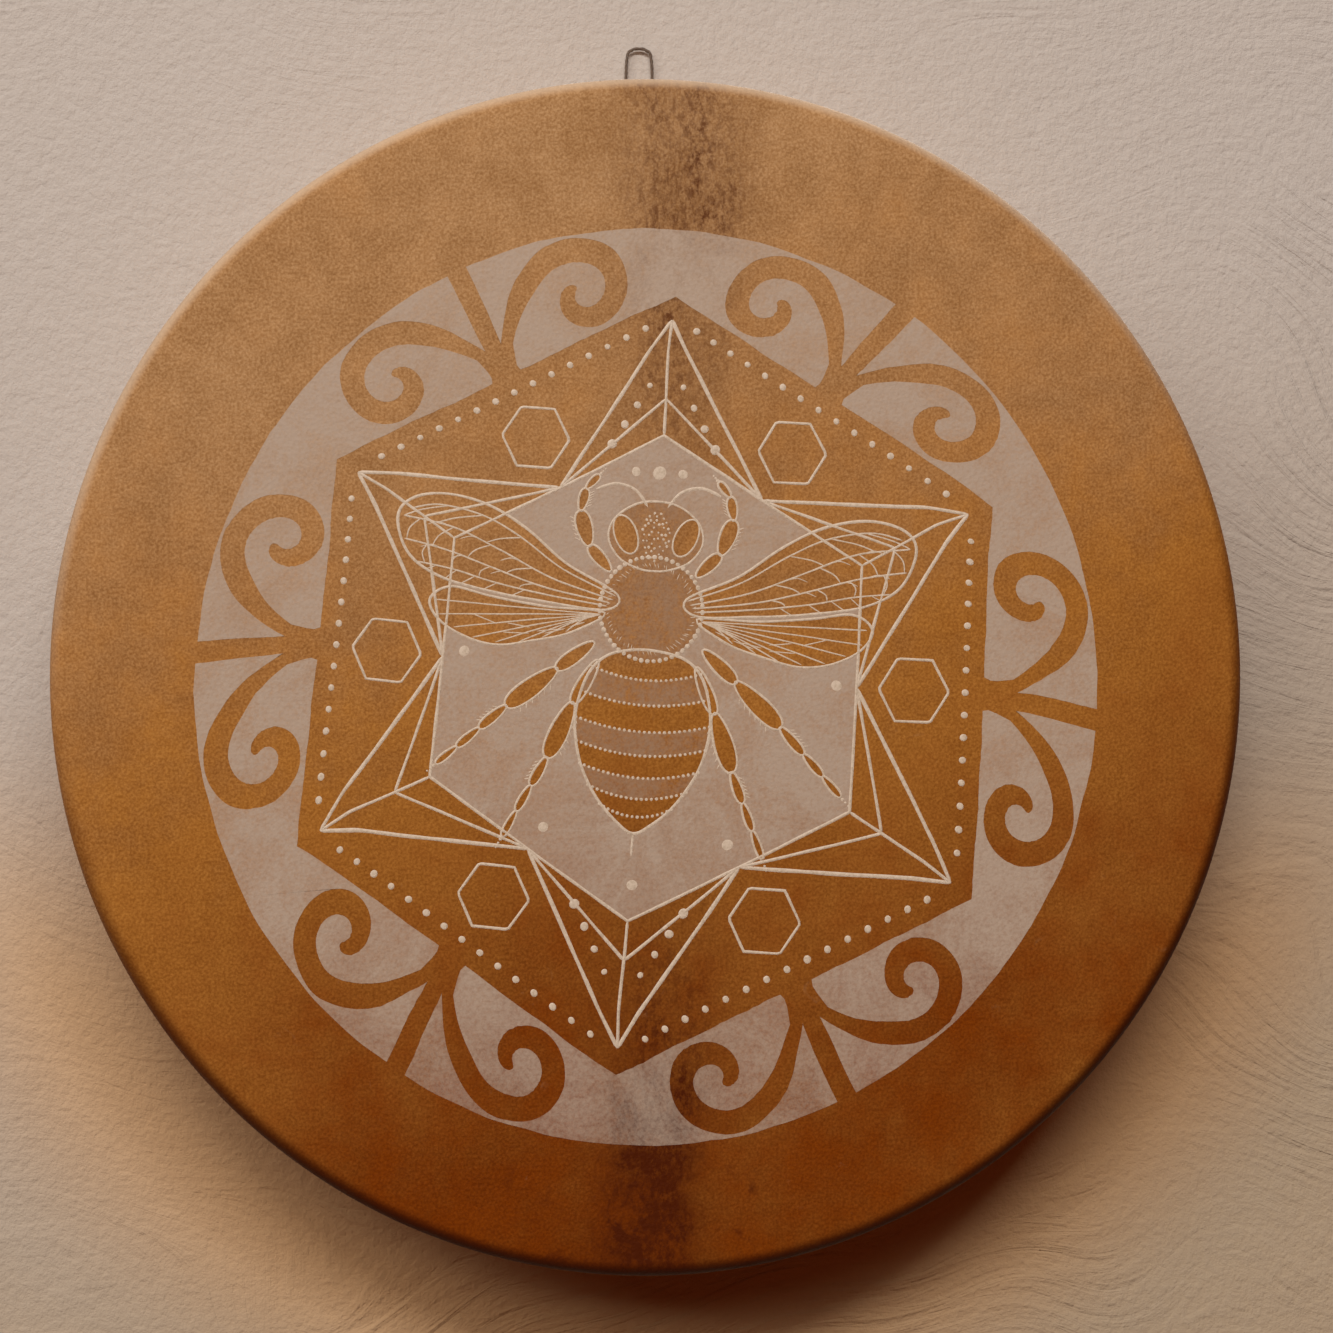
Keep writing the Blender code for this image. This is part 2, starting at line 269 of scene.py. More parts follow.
def spine_stain(graph, x, z):
    """The speckled stripe along the animal's back, strongest at its two ends, and some smudges."""
    lean = graph.math("MULTIPLY_ADD", z, SPINE_LEAN, SPINE_X)
    wander = graph.times(graph.minus(graph.noise(28.0, 3.0, 0.6), 0.5), SPINE_WANDER)
    off = graph.math("ABSOLUTE", graph.plus(graph.minus(x, lean), wander))
    hump = graph.math("POWER", graph.math("DIVIDE", off, SPINE_HALF_WIDTH), 2.0)
    hump = graph.math("EXPONENT", graph.times(hump, -0.9))
    ends = graph.ramp(graph.math("ABSOLUTE", z), 0.03, 0.145, 0.15, 1.0)
    stretched = graph.vector(x, 0.0, graph.times(z, 0.6))
    speckle = graph.ramp(graph.noise(420.0, 5.0, 0.75, stretched), 0.42, 0.62, 0.30, 1.0)
    clots = graph.ramp(graph.noise(60.0, 4.0, 0.6, stretched), 0.36, 0.62, 0.55, 1.0)
    spine = graph.times(hump, ends, speckle, clots)
    smudge = graph.ramp(graph.noise(52.0, 4.0, 0.65, distortion=0.5), 0.56, 0.68)
    smudge = graph.times(smudge, graph.ramp(z, -0.150, -0.176), graph.ramp(off, 0.075, 0.025))
    patchy = graph.ramp(graph.noise(85.0, 5.0, 0.7), 0.38, 0.60, 0.35, 1.0)
    foot = graph.times(hump, graph.ramp(z, -0.11, -0.165), patchy)
    stain = graph.plus(graph.times(spine, 0.95), graph.times(smudge, 0.75), graph.times(foot, 0.72))
    return graph.clamped(stain)


def hide_tone(graph, blotches, mottle, grain, pebbles):
    """A colour factor about 1; where the hide is darker it is redder too."""
    tone = graph.plus(
        graph.ramp(blotches, 0.32, 0.68, 0.89, 1.11),
        graph.ramp(mottle, 0.34, 0.66, -0.05, 0.05),
        graph.ramp(grain, 0.36, 0.64, -0.15, 0.15),
        graph.ramp(pebbles, 0.1, 0.6, 0.03, -0.05),
    )
    return graph.vector(tone, graph.math("POWER", tone, 1.35), graph.math("POWER", tone, 1.9))


def hide_shoulder(graph, colour, y, radius, slant):
    """The rounded edge's colour: painted shade on the lower side, and a painted highlight at the upper left.
    """
    shoulder = graph.ramp(radius, RADIUS - 0.0062, RADIUS - 0.0012)
    # painted shade: the lower right half of the rounded edge darkened, darkest at its bottom
    colour = graph.over(colour, HIDE_STAIN_AND_SHADE, graph.times(shoulder, graph.ramp(slant, 0.05, -0.09)), 0.78)
    lowest = graph.times(shoulder, graph.ramp(slant, -0.02, -0.17), graph.ramp(y, 0.030, 0.006))
    colour = graph.over(colour, HIDE_EDGE_SHADE, lowest, 0.70)
    # painted highlight along the crest of the upper left rim
    crest = graph.times(graph.ramp(radius, RADIUS - 0.0044, RADIUS - 0.0007), graph.ramp(y, 0.010, 0.005))
    return graph.over(colour, HIDE_RIM_HIGHLIGHT, graph.times(crest, graph.ramp(slant, 0.02, 0.14)), 0.66)


def hide_colour(graph):
    """Colour and relief of the rawhide at each point of the drum, with painted shade towards the lower right
    and on the lower rim and a painted highlight on the upper left rim; shared by the paint that lies on it.
    """
    x, y, z = graph.axes()
    clouds = graph.noise(8.0, 4.0, 0.6)
    blotches = graph.noise(46.0, 5.0, 0.65)
    mottle = graph.noise(190.0, 5.0, 0.7)
    grain = graph.noise(1050.0, 3.0, 0.65)
    pebbles = graph.cells(820.0)
    slant = graph.math("MULTIPLY_ADD", x, HIDE_SHADE_SLANT, z)
    # darker towards the lower right: partly the hide's own colour, partly painted shade
    down = graph.ramp(slant, 0.20, -0.20)
    deep = graph.plus(graph.times(down, 0.80), graph.times(clouds, 0.55), graph.times(blotches, 0.50))
    colour = graph.mix(graph.ramp(deep, 0.45, 1.05), HIDE_LIGHT, HIDE_MIDDLE)
    colour = graph.mix(graph.ramp(deep, 0.95, 1.42), colour, HIDE_DEEP)
    colour = graph.mix(1.0, colour, hide_tone(graph, blotches, mottle, grain, pebbles), "MULTIPLY")
    colour = graph.mix(spine_stain(graph, x, z), colour, HIDE_STAIN_AND_SHADE)
    colour = hide_shoulder(graph, colour, y, graph.from_axis(x, z), slant)
    flecks = graph.ramp(graph.noise(360.0, 5.0, 0.75), 0.61, 0.75)
    colour = graph.over(colour, HIDE_STAIN_AND_SHADE, flecks, 0.13)
    scuffs = graph.ramp(graph.noise(75.0, 5.0, 0.7, distortion=1.5), 0.64, 0.76)
    colour = graph.over(colour, HIDE_SCUFF, scuffs, 0.12)
    relief = graph.plus(graph.times(pebbles, 0.9), graph.times(grain, 0.9))
    return colour, relief, blotches


def hide_normal(graph, relief, strength=1.0):
    coarse = graph.bump(graph.noise(150.0, 3.0, 0.6), 0.00014 * strength)
    return graph.bump(relief, HIDE_RELIEF * strength, coarse)


def hide_material():
    graph = Graph("rawhide")
    colour, relief, blotches = hide_colour(graph)
    rough = graph.ramp(blotches, 0.3, 0.7, 0.46, 0.58)
    return graph.finish(colour, rough, hide_normal(graph, relief), **HIDE_GLOSS)


def flesh_side_material():
    """The inner side of the hide: paler, dry and fibrous."""
    graph = Graph("rawhide_flesh_side")
    pale, dull, fibre_colour, vein_colour = (
        (0.50, 0.31, 0.15), (0.34, 0.17, 0.065), (0.62, 0.46, 0.28), (0.20, 0.085, 0.03),
    )
    fibres = graph.noise(500.0, 5.0, 0.75, distortion=0.8)
    colour = graph.mix(graph.noise(14.0, 4.0, 0.6), pale, dull)
    colour = graph.mix(graph.ramp(fibres, 0.5, 0.72, 0.0, 0.45), colour, fibre_colour)
    swirls = graph.noise(22.0, 3.0, 0.5, distortion=1.2)
    veins = graph.times(graph.ramp(swirls, 0.485, 0.50), graph.ramp(swirls, 0.515, 0.50))
    colour = graph.over(colour, vein_colour, veins, 0.13)
    return graph.finish(colour, 0.78, graph.bump(fibres, 0.0004), Specular_IOR_Level=0.25)


CHALK = (0.48, 0.37, 0.282)
TAN = (0.36, 0.225, 0.135)


def paint_material(name, paint, cover, streak):
    """Paint rubbed over the hide: its grain shows through where the paint is thin."""
    graph = Graph(name)
    # the hide's colour under the wash, with its painted shade and highlight, shows through it
    colour, relief, _ = hide_colour(graph)
    height = graph.axes()[2]
    thin = graph.ramp(graph.noise(620.0, 4.0, 0.7), 0.30, 0.62, -streak, streak)
    # the wash covers less towards the bottom, so the hide's darker colour shows more there
    less_cover_below = graph.ramp(height, -0.06, -0.16, cover, 0.62 * cover)
    brush = graph.noise(30.0, 6.0, 0.75, distortion=0.8)
    brush = graph.ramp(brush, 0.36, 0.62, -1.5 * streak, 0.8 * streak)
    colour = graph.mix(graph.clamped(graph.plus(thin, less_cover_below, brush)), colour, paint)
    return graph.finish(colour, 0.62, hide_normal(graph, relief, 0.8), Specular_IOR_Level=0.15)


def linework_material():
    """White paint laid on thickly in fine lines and dots."""
    graph = Graph("white_linework")
    worn, clean = (0.54, 0.43, 0.31), (0.70, 0.58, 0.45)
    colour = graph.mix(graph.ramp(graph.noise(700.0, 4.0, 0.7), 0.32, 0.60), worn, clean)
    return graph.finish(colour, 0.55, graph.bump(graph.noise(900.0, 3.0), 0.00008))


def wood_material():
    """Bent ash strip: straight grain along the hoop, oiled, with darker pores."""
    graph = Graph("bent_wood")
    early, late, pore_colour = (0.50, 0.31, 0.155), (0.30, 0.155, 0.062), (0.15, 0.07, 0.025)
    across_grain = 26.0
    x, y, z = graph.axes()
    along = graph.times(graph.math("ARCTAN2", z, x), RADIUS)
    depth = graph.times(graph.from_axis(x, z), across_grain)
    strip = graph.vector(along, graph.times(y, across_grain), depth)
    rings = graph.noise(13.0, 4.0, 0.6, strip, 0.5)
    pores = graph.noise(70.0, 3.0, 0.7, strip)
    colour = graph.mix(graph.ramp(rings, 0.32, 0.68), early, late)
    colour = graph.mix(graph.ramp(pores, 0.56, 0.68, 0.0, 0.6), colour, pore_colour)
    height = graph.minus(graph.times(rings, 0.5), graph.ramp(pores, 0.55, 0.7))
    rough = graph.ramp(rings, 0.3, 0.7, 0.42, 0.58)
    return graph.finish(colour, rough, graph.bump(height, 0.00012))


def thong_material():
    """Rawhide lacing, dried hard: pale amber, darker in its folds, with fine lengthwise streaks."""
    graph = Graph("rawhide_thong")
    dark, pale, stain = (0.36, 0.205, 0.088), (0.62, 0.44, 0.25), (0.27, 0.125, 0.042)
    along, around = graph.route_map()
    lengthwise = graph.vector(graph.times(along, 60.0), graph.times(around, 7.0), 0.0)
    streaks = graph.noise(1.0, 4.0, 0.65, lengthwise)
    patches = graph.noise(55.0, 4.0, 0.6)
    colour = graph.mix(graph.ramp(streaks, 0.30, 0.68), dark, pale)
    colour = graph.mix(graph.ramp(patches, 0.42, 0.72, 0.0, 0.65), colour, stain)
    height = graph.plus(streaks, graph.times(graph.noise(900.0, 3.0), 0.4))
    rough = graph.ramp(patches, 0.3, 0.7, 0.36, 0.58)
    return graph.finish(colour, rough, graph.bump(height, 0.00022), Specular_IOR_Level=0.5)


def steel_material():
    """Lightly tarnished wire with a few specks of rust."""
    graph = Graph("ring_steel")
    bright, dull, rust = (0.62, 0.60, 0.57), (0.40, 0.385, 0.37), (0.19, 0.10, 0.055)
    haze = graph.noise(160.0, 5.0, 0.7)
    spots = graph.ramp(graph.noise(520.0, 3.0, 0.6), 0.60, 0.70)
    colour = graph.over(graph.mix(haze, bright, dull), rust, spots, 0.55)
    rough = graph.ramp(haze, 0.3, 0.7, 0.24, 0.44)
    return graph.finish(colour, rough, graph.bump(haze, 0.00008), Metallic=0.95)


def leather_material():
    """Dark strip leather: creased grain, lighter where the edges and high spots have rubbed."""
    graph = Graph("strip_leather")
    dark, brown, rubbed_colour = (0.085, 0.036, 0.016), (0.16, 0.075, 0.034), (0.33, 0.18, 0.09)
    around = graph.route_map()[1]
    creases = graph.cells(620.0, "DISTANCE_TO_EDGE")
    mottle = graph.noise(130.0, 4.0, 0.65)
    rubbed = graph.times(graph.ramp(around, 0.86, 0.99), graph.ramp(mottle, 0.35, 0.6))
    colour = graph.mix(graph.ramp(mottle, 0.3, 0.7), dark, brown)
    colour = graph.over(colour, rubbed_colour, rubbed, 0.7)
    height = graph.plus(graph.ramp(creases, 0.0, 0.12), graph.times(mottle, 0.8))
    rough = graph.ramp(mottle, 0.3, 0.7, 0.42, 0.60)
    return graph.finish(colour, rough, graph.bump(height, 0.00018))


def cord_material():
    """Waxed thread: dark brown, each ply marked with fine slanting fibres."""
    graph = Graph("waxed_cord")
    along, around = graph.route_map()
    slant = graph.vector(graph.times(along, 900.0), graph.times(around, 12.0), 0.0)
    fibres = graph.noise(1.0, 3.0, 0.6, slant)
    colour = graph.mix(graph.ramp(fibres, 0.3, 0.7), (0.055, 0.034, 0.022), (0.17, 0.115, 0.075))
    return graph.finish(colour, 0.62, graph.bump(fibres, 0.00012), Sheen_Weight=0.25)


# Making pieces -------------------------------------------------------------------------------------------

SHARP_ANGLE = radians(38)


def add_object(name, data):
    thing = bpy.data.objects.new(name, data)
    bpy.context.scene.collection.objects.link(thing)
    return thing


def add_piece(name, vertices, faces, material, slot, body="drum", smooth=True):
    """A mesh piece in the row frame, riding on a CAD body."""
    mesh = bpy.data.meshes.new(name)
    mesh.from_pydata([tuple(v) for v in vertices], [], faces)
    mesh.validate()
    mesh.materials.append(material)
    if smooth:
        mesh.shade_smooth()
        mesh.set_sharp_from_angle(angle=SHARP_ANGLE)
    piece = add_object(name, mesh)
    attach(piece, body)
    return piece


def unit(value):
    """The value kept between 0 and 1."""
    return min(max(value, 0.0), 1.0)


def polar(radius, angle, y):
    """A point at that radius and angle round the drum's axis; angle 0 is +X and 90 degrees is +Z."""
    return Vector((radius * cos(angle), y, radius * sin(angle)))


def smooth_line(points, steps, closed):
    """Points on the smooth curve through the given ones (Catmull-Rom)."""
    count = len(points)
    spans = count if closed else count - 1
    line = []
    for i in range(spans):
        if closed:
            before, after = points[i - 1], points[(i + 2) % count]
        else:
            before, after = points[max(i - 1, 0)], points[min(i + 2, count - 1)]
        here, there = points[i], points[(i + 1) % count]
        for step in range(steps):
            t = step / steps
            line.append(
                0.5 * (2 * here + (there - before) * t
                       + (2 * before - 5 * here + 4 * there - after) * t**2
                       + (3 * here - before - 3 * there + after) * t**3)
            )
    if not closed:
        line.append(points[-1].copy())
    return line


def evenly(points, spacing):
    """The same open line with points at about that spacing."""
    lengths = [0.0]
    for a, b in zip(points, points[1:]):
        lengths.append(lengths[-1] + (b - a).length)
    count = max(2, ceil(lengths[-1] / spacing) + 1)
    result = []
    i = 0
    for k in range(count):
        target = lengths[-1] * k / (count - 1)
        while i < len(points) - 2 and lengths[i + 1] < target:
            i += 1
        share = (target - lengths[i]) / max(lengths[i + 1] - lengths[i], 1e-12)
        result.append(points[i].lerp(points[i + 1], unit(share)))
    return result


def carried_frames(points):
    """A tangent and two side vectors for each point, turned as little as possible along the line."""
    frames = []
    tangent = (points[1] - points[0]).normalized()
    side = tangent.orthogonal().normalized()
    for i in range(len(points)):
        ahead = points[min(i + 1, len(points) - 1)]
        behind = points[max(i - 1, 0)]
        new_tangent = (ahead - behind).normalized()
        side = (side - new_tangent * side.dot(new_tangent)).normalized()
        frames.append((new_tangent, side, new_tangent.cross(side)))
    return frames


def tube_faces(start, rings, sides, closed=False):
    """Faces of a tube whose rings of vertices follow each other from start on; an open tube is capped."""
    faces = []
    for i in range(rings if closed else rings - 1):
        here, there = start + i * sides, start + (i + 1) % rings * sides
        for k in range(sides):
            n = (k + 1) % sides
            faces.append((here + k, here + n, there + n, there + k))
    if not closed:
        last = start + (rings - 1) * sides
        faces.append(tuple(range(start, start + sides))[::-1])
        faces.append(tuple(range(last, last + sides)))
    return faces


def sweep(points, section, sides):
    """Vertices, faces and (length, share round) of a capped tube of radius section(length, share)."""
    frames = carried_frames(points)
    vertices, route = [], []
    length = 0.0
    for i, point in enumerate(points):
        if i:
            length += (point - points[i - 1]).length
        _, side, up = frames[i]
        for k in range(sides):
            share = k / sides
            angle = 2 * pi * share
            vertices.append(point + section(length, share) * (cos(angle) * side + sin(angle) * up))
            route.append((length, share))
    return vertices, tube_faces(0, len(points), sides), route


def map_route(piece, route):
    """Stores (length, share round) as the UV map that the materials of laced and wrapped pieces read."""
    layer = piece.data.uv_layers.new(name="route")
    for polygon in piece.data.polygons:
        corners = [route[v] for v in polygon.vertices]
        wraps = max(c[1] for c in corners) - min(c[1] for c in corners) > 0.5
        for loop, (length, share) in zip(polygon.loop_indices, corners):
            layer.data[loop].uv = (length, share + 1.0 if wraps and share < 0.5 else share)


def add_tube(name, points, section, sides, material, slot, body="drum", start=0.0):
    """A swept piece with its route mapped; start is the length that the map begins at."""
    vertices, faces, route = sweep(points, section, sides)
    piece = add_piece(name, vertices, faces, material, slot, body)
    map_route(piece, [(start + length, share) for length, share in route])
    return piece


# Camera and stage ----------------------------------------------------------------------------------------

CAMERA_YAW = radians(6.2)
CAMERA_DISTANCE = 1.0625
CAMERA_AIM = Vector((0.0027, 0.0, 0.0037))
CAMERA_LENS = 85.0
CAMERA_SENSOR = 36.0
WALL_GAP = 0.003
WALL_HALF_WIDTH = 0.72
WALL_TOP = 0.75
FLOOR_Z = -1.5
FLOOR_HALF_WIDTH = 3.0
LIGHT_AIM = Vector((0.0, 0.03, 0.0))
LIGHTS = (  # name, place, size, watts, colour
    ("key", (-0.08, -3.0, 1.97), (2.1, 0.12), 62.0, (1.0, 0.965, 0.93)),
    ("side", (-1.81, -3.0, 1.79), (4.0, 1.54), 84.0, (1.0, 0.94, 0.87)),
    ("top", (-0.40, -0.34, 1.20), (0.6, 0.4), 1.0, (1.0, 0.93, 0.86)),
    ("behind", (0.45, 1.15, 0.65), (0.9, 0.9), 12.0, (1.0, 0.96, 0.90)),
)


def make_camera():
    data = bpy.data.cameras.new("camera")
    data.lens = CAMERA_LENS
    data.sensor_width = CAMERA_SENSOR
    camera = add_object("camera", data)
    back = Vector((-sin(CAMERA_YAW), -cos(CAMERA_YAW), 0.0))
    camera.location = CAMERA_AIM + CAMERA_DISTANCE * back
    camera.rotation_euler = (-back).to_track_quat("-Z", "Y").to_euler()
    bpy.context.scene.camera = camera


def trowel_strokes(graph, x, z):
    """The plaster's relief: long curled strokes, patchy and deepest at the lower right, and fine lumps."""
    curl = graph.times(graph.noise(3.2, 2.0), 0.40)
    lift = graph.plus(z, curl)
    place = graph.vector(graph.times(x, 22.0), 0.0, graph.times(lift, 165.0))
    strokes = graph.noise(1.0, 4.0, 0.55, place, 1.0)
    patches = graph.ramp(graph.noise(7.0, 3.0), 0.38, 0.60, 0.25, 1.0)
    corner = graph.ramp(graph.minus(x, z), -0.30, 0.30, 0.40, 1.5)
    return graph.plus(graph.times(strokes, patches, corner), graph.times(graph.noise(95.0, 4.0, 0.6), 0.40))


def plaster_material():
    """Pale trowelled plaster, with painted shade towards the lower right and painted warm bounce light under
    the drum. From behind the wall isn't there, so the drum's back can be looked at.
    """
    graph = Graph("wall_plaster")
    pale, ochre, cloud, sand_colour = (
        (0.58, 0.535, 0.49), (0.52, 0.405, 0.27), (0.52, 0.45, 0.38), (0.42, 0.36, 0.30),
    )
    reflected = (1.16, 0.87, 0.58)  # painted warm light, as if bounced from the drum onto the wall under it
    x, _, z = graph.axes()
    sand = graph.noise(420.0, 3.0, 0.6)
    # painted shade: the plaster turns darker ochre towards the lower right
    painted_shade = graph.ramp(graph.minus(graph.times(x, 0.35), z), -0.12, 0.27)
    colour = graph.mix(painted_shade, pale, ochre)
    colour = graph.over(colour, cloud, graph.noise(5.0, 2.0), 0.20)
    colour = graph.mix(graph.ramp(sand, 0.35, 0.65, 0.0, 0.12), colour, sand_colour)
    # painted bounce light: the wall under the drum's lower half warmed
    painted_bounce = graph.times(graph.ramp(graph.from_axis(x, z), 0.30, 0.225), graph.ramp(z, 0.0, -0.12))
    colour = graph.mix(painted_bounce, colour, graph.mix(1.0, colour, reflected, "MULTIPLY"))
    normal = graph.bump(sand, 0.0007, graph.bump(trowel_strokes(graph, x, z), 0.0014))
    graph.finish(colour, 0.9, normal, Specular_IOR_Level=0.2)
    clear = graph.new("BsdfTransparent").outputs[0]
    facing = graph.new("NewGeometry").outputs["Backfacing"]
    choose_shader(graph.tree, facing, graph.shader.outputs[0], clear, "Material Output")
    return graph.material


def floor_material():
    graph = Graph("pale_floor")
    colour = graph.mix(graph.noise(3.0, 3.0), (0.62, 0.57, 0.52), (0.66, 0.61, 0.56))
    return graph.finish(colour, 0.85, graph.bump(graph.noise(90.0, 4.0), 0.0006))


def make_plane(name, corners, material):
    mesh = bpy.data.meshes.new(name)
    mesh.from_pydata(corners, [], [(0, 1, 2, 3)])
    mesh.materials.append(material)
    plane = add_object(name, mesh)
    return plane


def make_light(name, place, size, power, colour):
    data = bpy.data.lights.new(name, "AREA")
    data.shape = "RECTANGLE"
    data.size, data.size_y = size
    data.energy = power
    data.color = colour
    light = add_object(name, data)
    light.location = place
    light.rotation_euler = (LIGHT_AIM - Vector(place)).to_track_quat("-Z", "Y").to_euler()


def make_stage():
    square = ((-1, -1), (1, -1), (1, 1), (-1, 1))
    heights = {-1: FLOOR_Z, 1: WALL_TOP}
    wall_corners = [(WALL_HALF_WIDTH * x, DEPTH + WALL_GAP, heights[up]) for x, up in square]
    wall = make_plane("wall", wall_corners, plaster_material())
    wall.visible_shadow = False
    floor_corners = [(FLOOR_HALF_WIDTH * x, FLOOR_HALF_WIDTH * y, FLOOR_Z) for x, y in square]
    floor = make_plane("floor", floor_corners, floor_material())
    floor.visible_diffuse = False
    for light in LIGHTS:
        make_light(*light)
    make_world()


def make_world():
    """A dim warm surrounding light; the camera itself sees a plain pale backdrop."""
    world = bpy.data.worlds.new("studio")
    world.use_nodes = True
    tree = world.node_tree
    surrounding = tree.nodes["Background"]
    surrounding.inputs["Color"].default_value = (1.0, 0.25, 0.085, 1.0)
    surrounding.inputs["Strength"].default_value = 0.08
    backdrop = tree.nodes.new("ShaderNodeBackground")
    backdrop.inputs["Color"].default_value = (0.66, 0.62, 0.57, 1.0)
    seen = tree.nodes.new("ShaderNodeLightPath").outputs["Is Camera Ray"]
    choose_shader(tree, seen, surrounding.outputs[0], backdrop.outputs[0], "World Output")
    bpy.context.scene.world = world
    bpy.context.scene.view_settings.view_transform = "Standard"


# Hanging loop --------------------------------------------------------------------------------------------

CORD_SIDES = 12
CORD_PITCH = 0.0042  # length in which the two plies go once round each other
CORD_SPACING = 0.0005
CORD_BLEND = 12  # smooth steps between two points of its route
KNOT_SIZE = 0.00062
KNOT_CORD_RADIUS = 0.00055
KNOT_STEPS = 72
TAIL = ((0.0008, 0.0, -0.0004), (0.0016, -0.0004, -0.0030), (0.0030, -0.0002, -0.0062),
        (0.0036, 0.0004, -0.0096))


def middle_strand_x(z):
    """How far out the strands nearest the top of the drum are, at that height."""
    ring = polar(RING_RADIUS, pi / 2 - RING_PITCH / 2, 0)
    hole = polar(HOLE_CIRCLE, pi / 2 - HOLE_PITCH / 2, 0)
    return ring.x + (hole.x - ring.x) * (z - ring.z) / (hole.z - ring.z)


def loop_route():
    """The loop's own route: across in front of the two middle strands, round them and up behind the hem."""
    beside = middle_strand_x(PIVOT_Z) + LACE_RADIUS + CORD_RADIUS + LOOP_CLEARANCE
    side = [
        (beside - 0.0045, PIVOT_Y, PIVOT_Z),
        (beside - 0.0006, PIVOT_Y + 0.0016, PIVOT_Z + 0.0010),
        (beside + 0.0004, PIVOT_Y + 0.0058, PIVOT_Z + 0.0044),
        (beside + 0.0004, PIVOT_Y + 0.0096, PIVOT_Z + 0.0090),
        (beside - 0.0008, LOOP_BACK_Y - 0.0006, PIVOT_Z + 0.0190),
        (beside - 0.0044, LOOP_BACK_Y, PIVOT_Z + 0.0540),
        (0.0054, LOOP_BACK_Y, CAD_RADIUS - 0.0020),
        (LOOP_TOP_HALF_WIDTH, LOOP_BACK_Y, LOOP_TOP_Z - 0.0040),
        (0.6 * LOOP_TOP_HALF_WIDTH, LOOP_BACK_Y, LOOP_TOP_Z - 0.0006),
    ]
    right = [Vector(point) for point in side]
    left = [Vector((-point.x, point.y, point.z)) for point in reversed(right)]
    top = Vector((0, LOOP_BACK_Y, LOOP_TOP_Z))
    bottom = Vector((0, PIVOT_Y, PIVOT_Z))
    return [bottom] + right + [top] + left


def two_ply(length, share):
    """Radius of a cord of two strands laid round each other: a waisted section that turns along it."""
    turn = 2 * pi * (share - length / CORD_PITCH)
    return CORD_RADIUS * (0.76 + 0.26 * abs(cos(turn)))


def knot_centre_line(pivot):
    """An overhand knot: a trefoil small enough to sit on the cord."""
    line = []
    for i in range(KNOT_STEPS + 1):
        a = 2 * pi * i / KNOT_STEPS
        swing = KNOT_SIZE * (2 + cos(3 * a))
        depth = KNOT_CORD_RADIUS * sin(3 * a)
        line.append(pivot + Vector((swing * cos(2 * a) * 1.15, depth, swing * sin(2 * a))))
    return line


def make_hanging_loop():
    shared = (CORD_SIDES, cord_material(), "cord", "loop")
    closed = smooth_line(loop_route(), CORD_BLEND, True)
    path = evenly(closed + [closed[0]], CORD_SPACING)
    loop = add_tube("loop_cord", path, two_ply, *shared)
    pivot = Vector((0, PIVOT_Y, PIVOT_Z))
    knot = add_tube("loop_knot", knot_centre_line(pivot), lambda length, share: KNOT_CORD_RADIUS, *shared)
    for side, name in ((-1, "loop_tail_left"), (1, "loop_tail_right")):
        tail = [pivot + Vector((side * x, y, z)) for x, y, z in TAIL]
        add_tube(name, evenly(smooth_line(tail, 8, False), CORD_SPACING), two_ply, *shared)
    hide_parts("hanging_loop")


# Drum head -----------------------------------------------------------------------------------------------

HEAD_COLUMNS = 640
COLUMNS_PER_HOLE = HEAD_COLUMNS // HOLE_COUNT
HOLE_COLUMNS = range(COLUMNS_PER_HOLE // 2, HEAD_COLUMNS, COLUMNS_PER_HOLE)
HEM_ROW_PITCH = 0.0018
HOLE_CELLS = 2  # grid cells from a hole's centre to the edge of the block that it replaces
PLEAT = 0.0010
HEM_WAVE = 0.0013
SCALLOP = 0.0034
SCALLOP_START = HOLE_CIRCLE + 0.003
FACE_RIPPLE = 0.00012
FACE_RIPPLE_START = 0.160
FACE_RIPPLE_BREADTH = 0.038
PLEAT_START = 0.014  # the pleats grow from there towards the back
PLEAT_FULL = 0.061
LIP = 0.0006


def hem_surface_y(radius):
    """Where the sloping hem's back face lies at that radius."""
    return DEPTH - HEM_DROP * (HEM_FOLD_RADIUS - radius) / (HEM_FOLD_RADIUS - HEM_RADIUS)


def head_rows():
    """The hide's outer side in section: (radius, y, normal's radius part, normal's y part, kind)."""
    rows = [(r, 0.0, 0.0, -1.0, "face") for r in np.linspace(0.009, RADIUS - SHOULDER_RADIUS, 24)]
    for i in range(1, 9):
        a = i / 8 * pi / 2
        radius = RADIUS - SHOULDER_RADIUS * (1 - sin(a))
        rows.append((radius, SHOULDER_RADIUS * (1 - cos(a)), sin(a), -cos(a), "wall"))
    wall_end = DEPTH - BACK_RADIUS
    for y in np.linspace(SHOULDER_RADIUS, wall_end, 18)[1:]:
        rows.append((RADIUS, y, 1.0, 0.0, "wall"))
    for i in range(1, 8):
        a = i / 7 * pi / 2
        radius = RADIUS - BACK_RADIUS * (1 - cos(a))
        rows.append((radius, wall_end + BACK_RADIUS * sin(a), cos(a), sin(a), "back"))
    rows.append(((RADIUS - BACK_RADIUS + HEM_FOLD_RADIUS) / 2, DEPTH, 0.0, 1.0, "back"))
    rows.append((HEM_FOLD_RADIUS, DEPTH, -sin(HEM_SLOPE / 2), cos(HEM_SLOPE / 2), "back"))
    for k in range(4, -5, -1):
        r = HOLE_CIRCLE + k * HEM_ROW_PITCH if k > -4 else HEM_RADIUS
        if HEM_RADIUS <= r < HEM_FOLD_RADIUS:
            rows.append((r, hem_surface_y(r), -sin(HEM_SLOPE), cos(HEM_SLOPE), "hem"))
    return rows


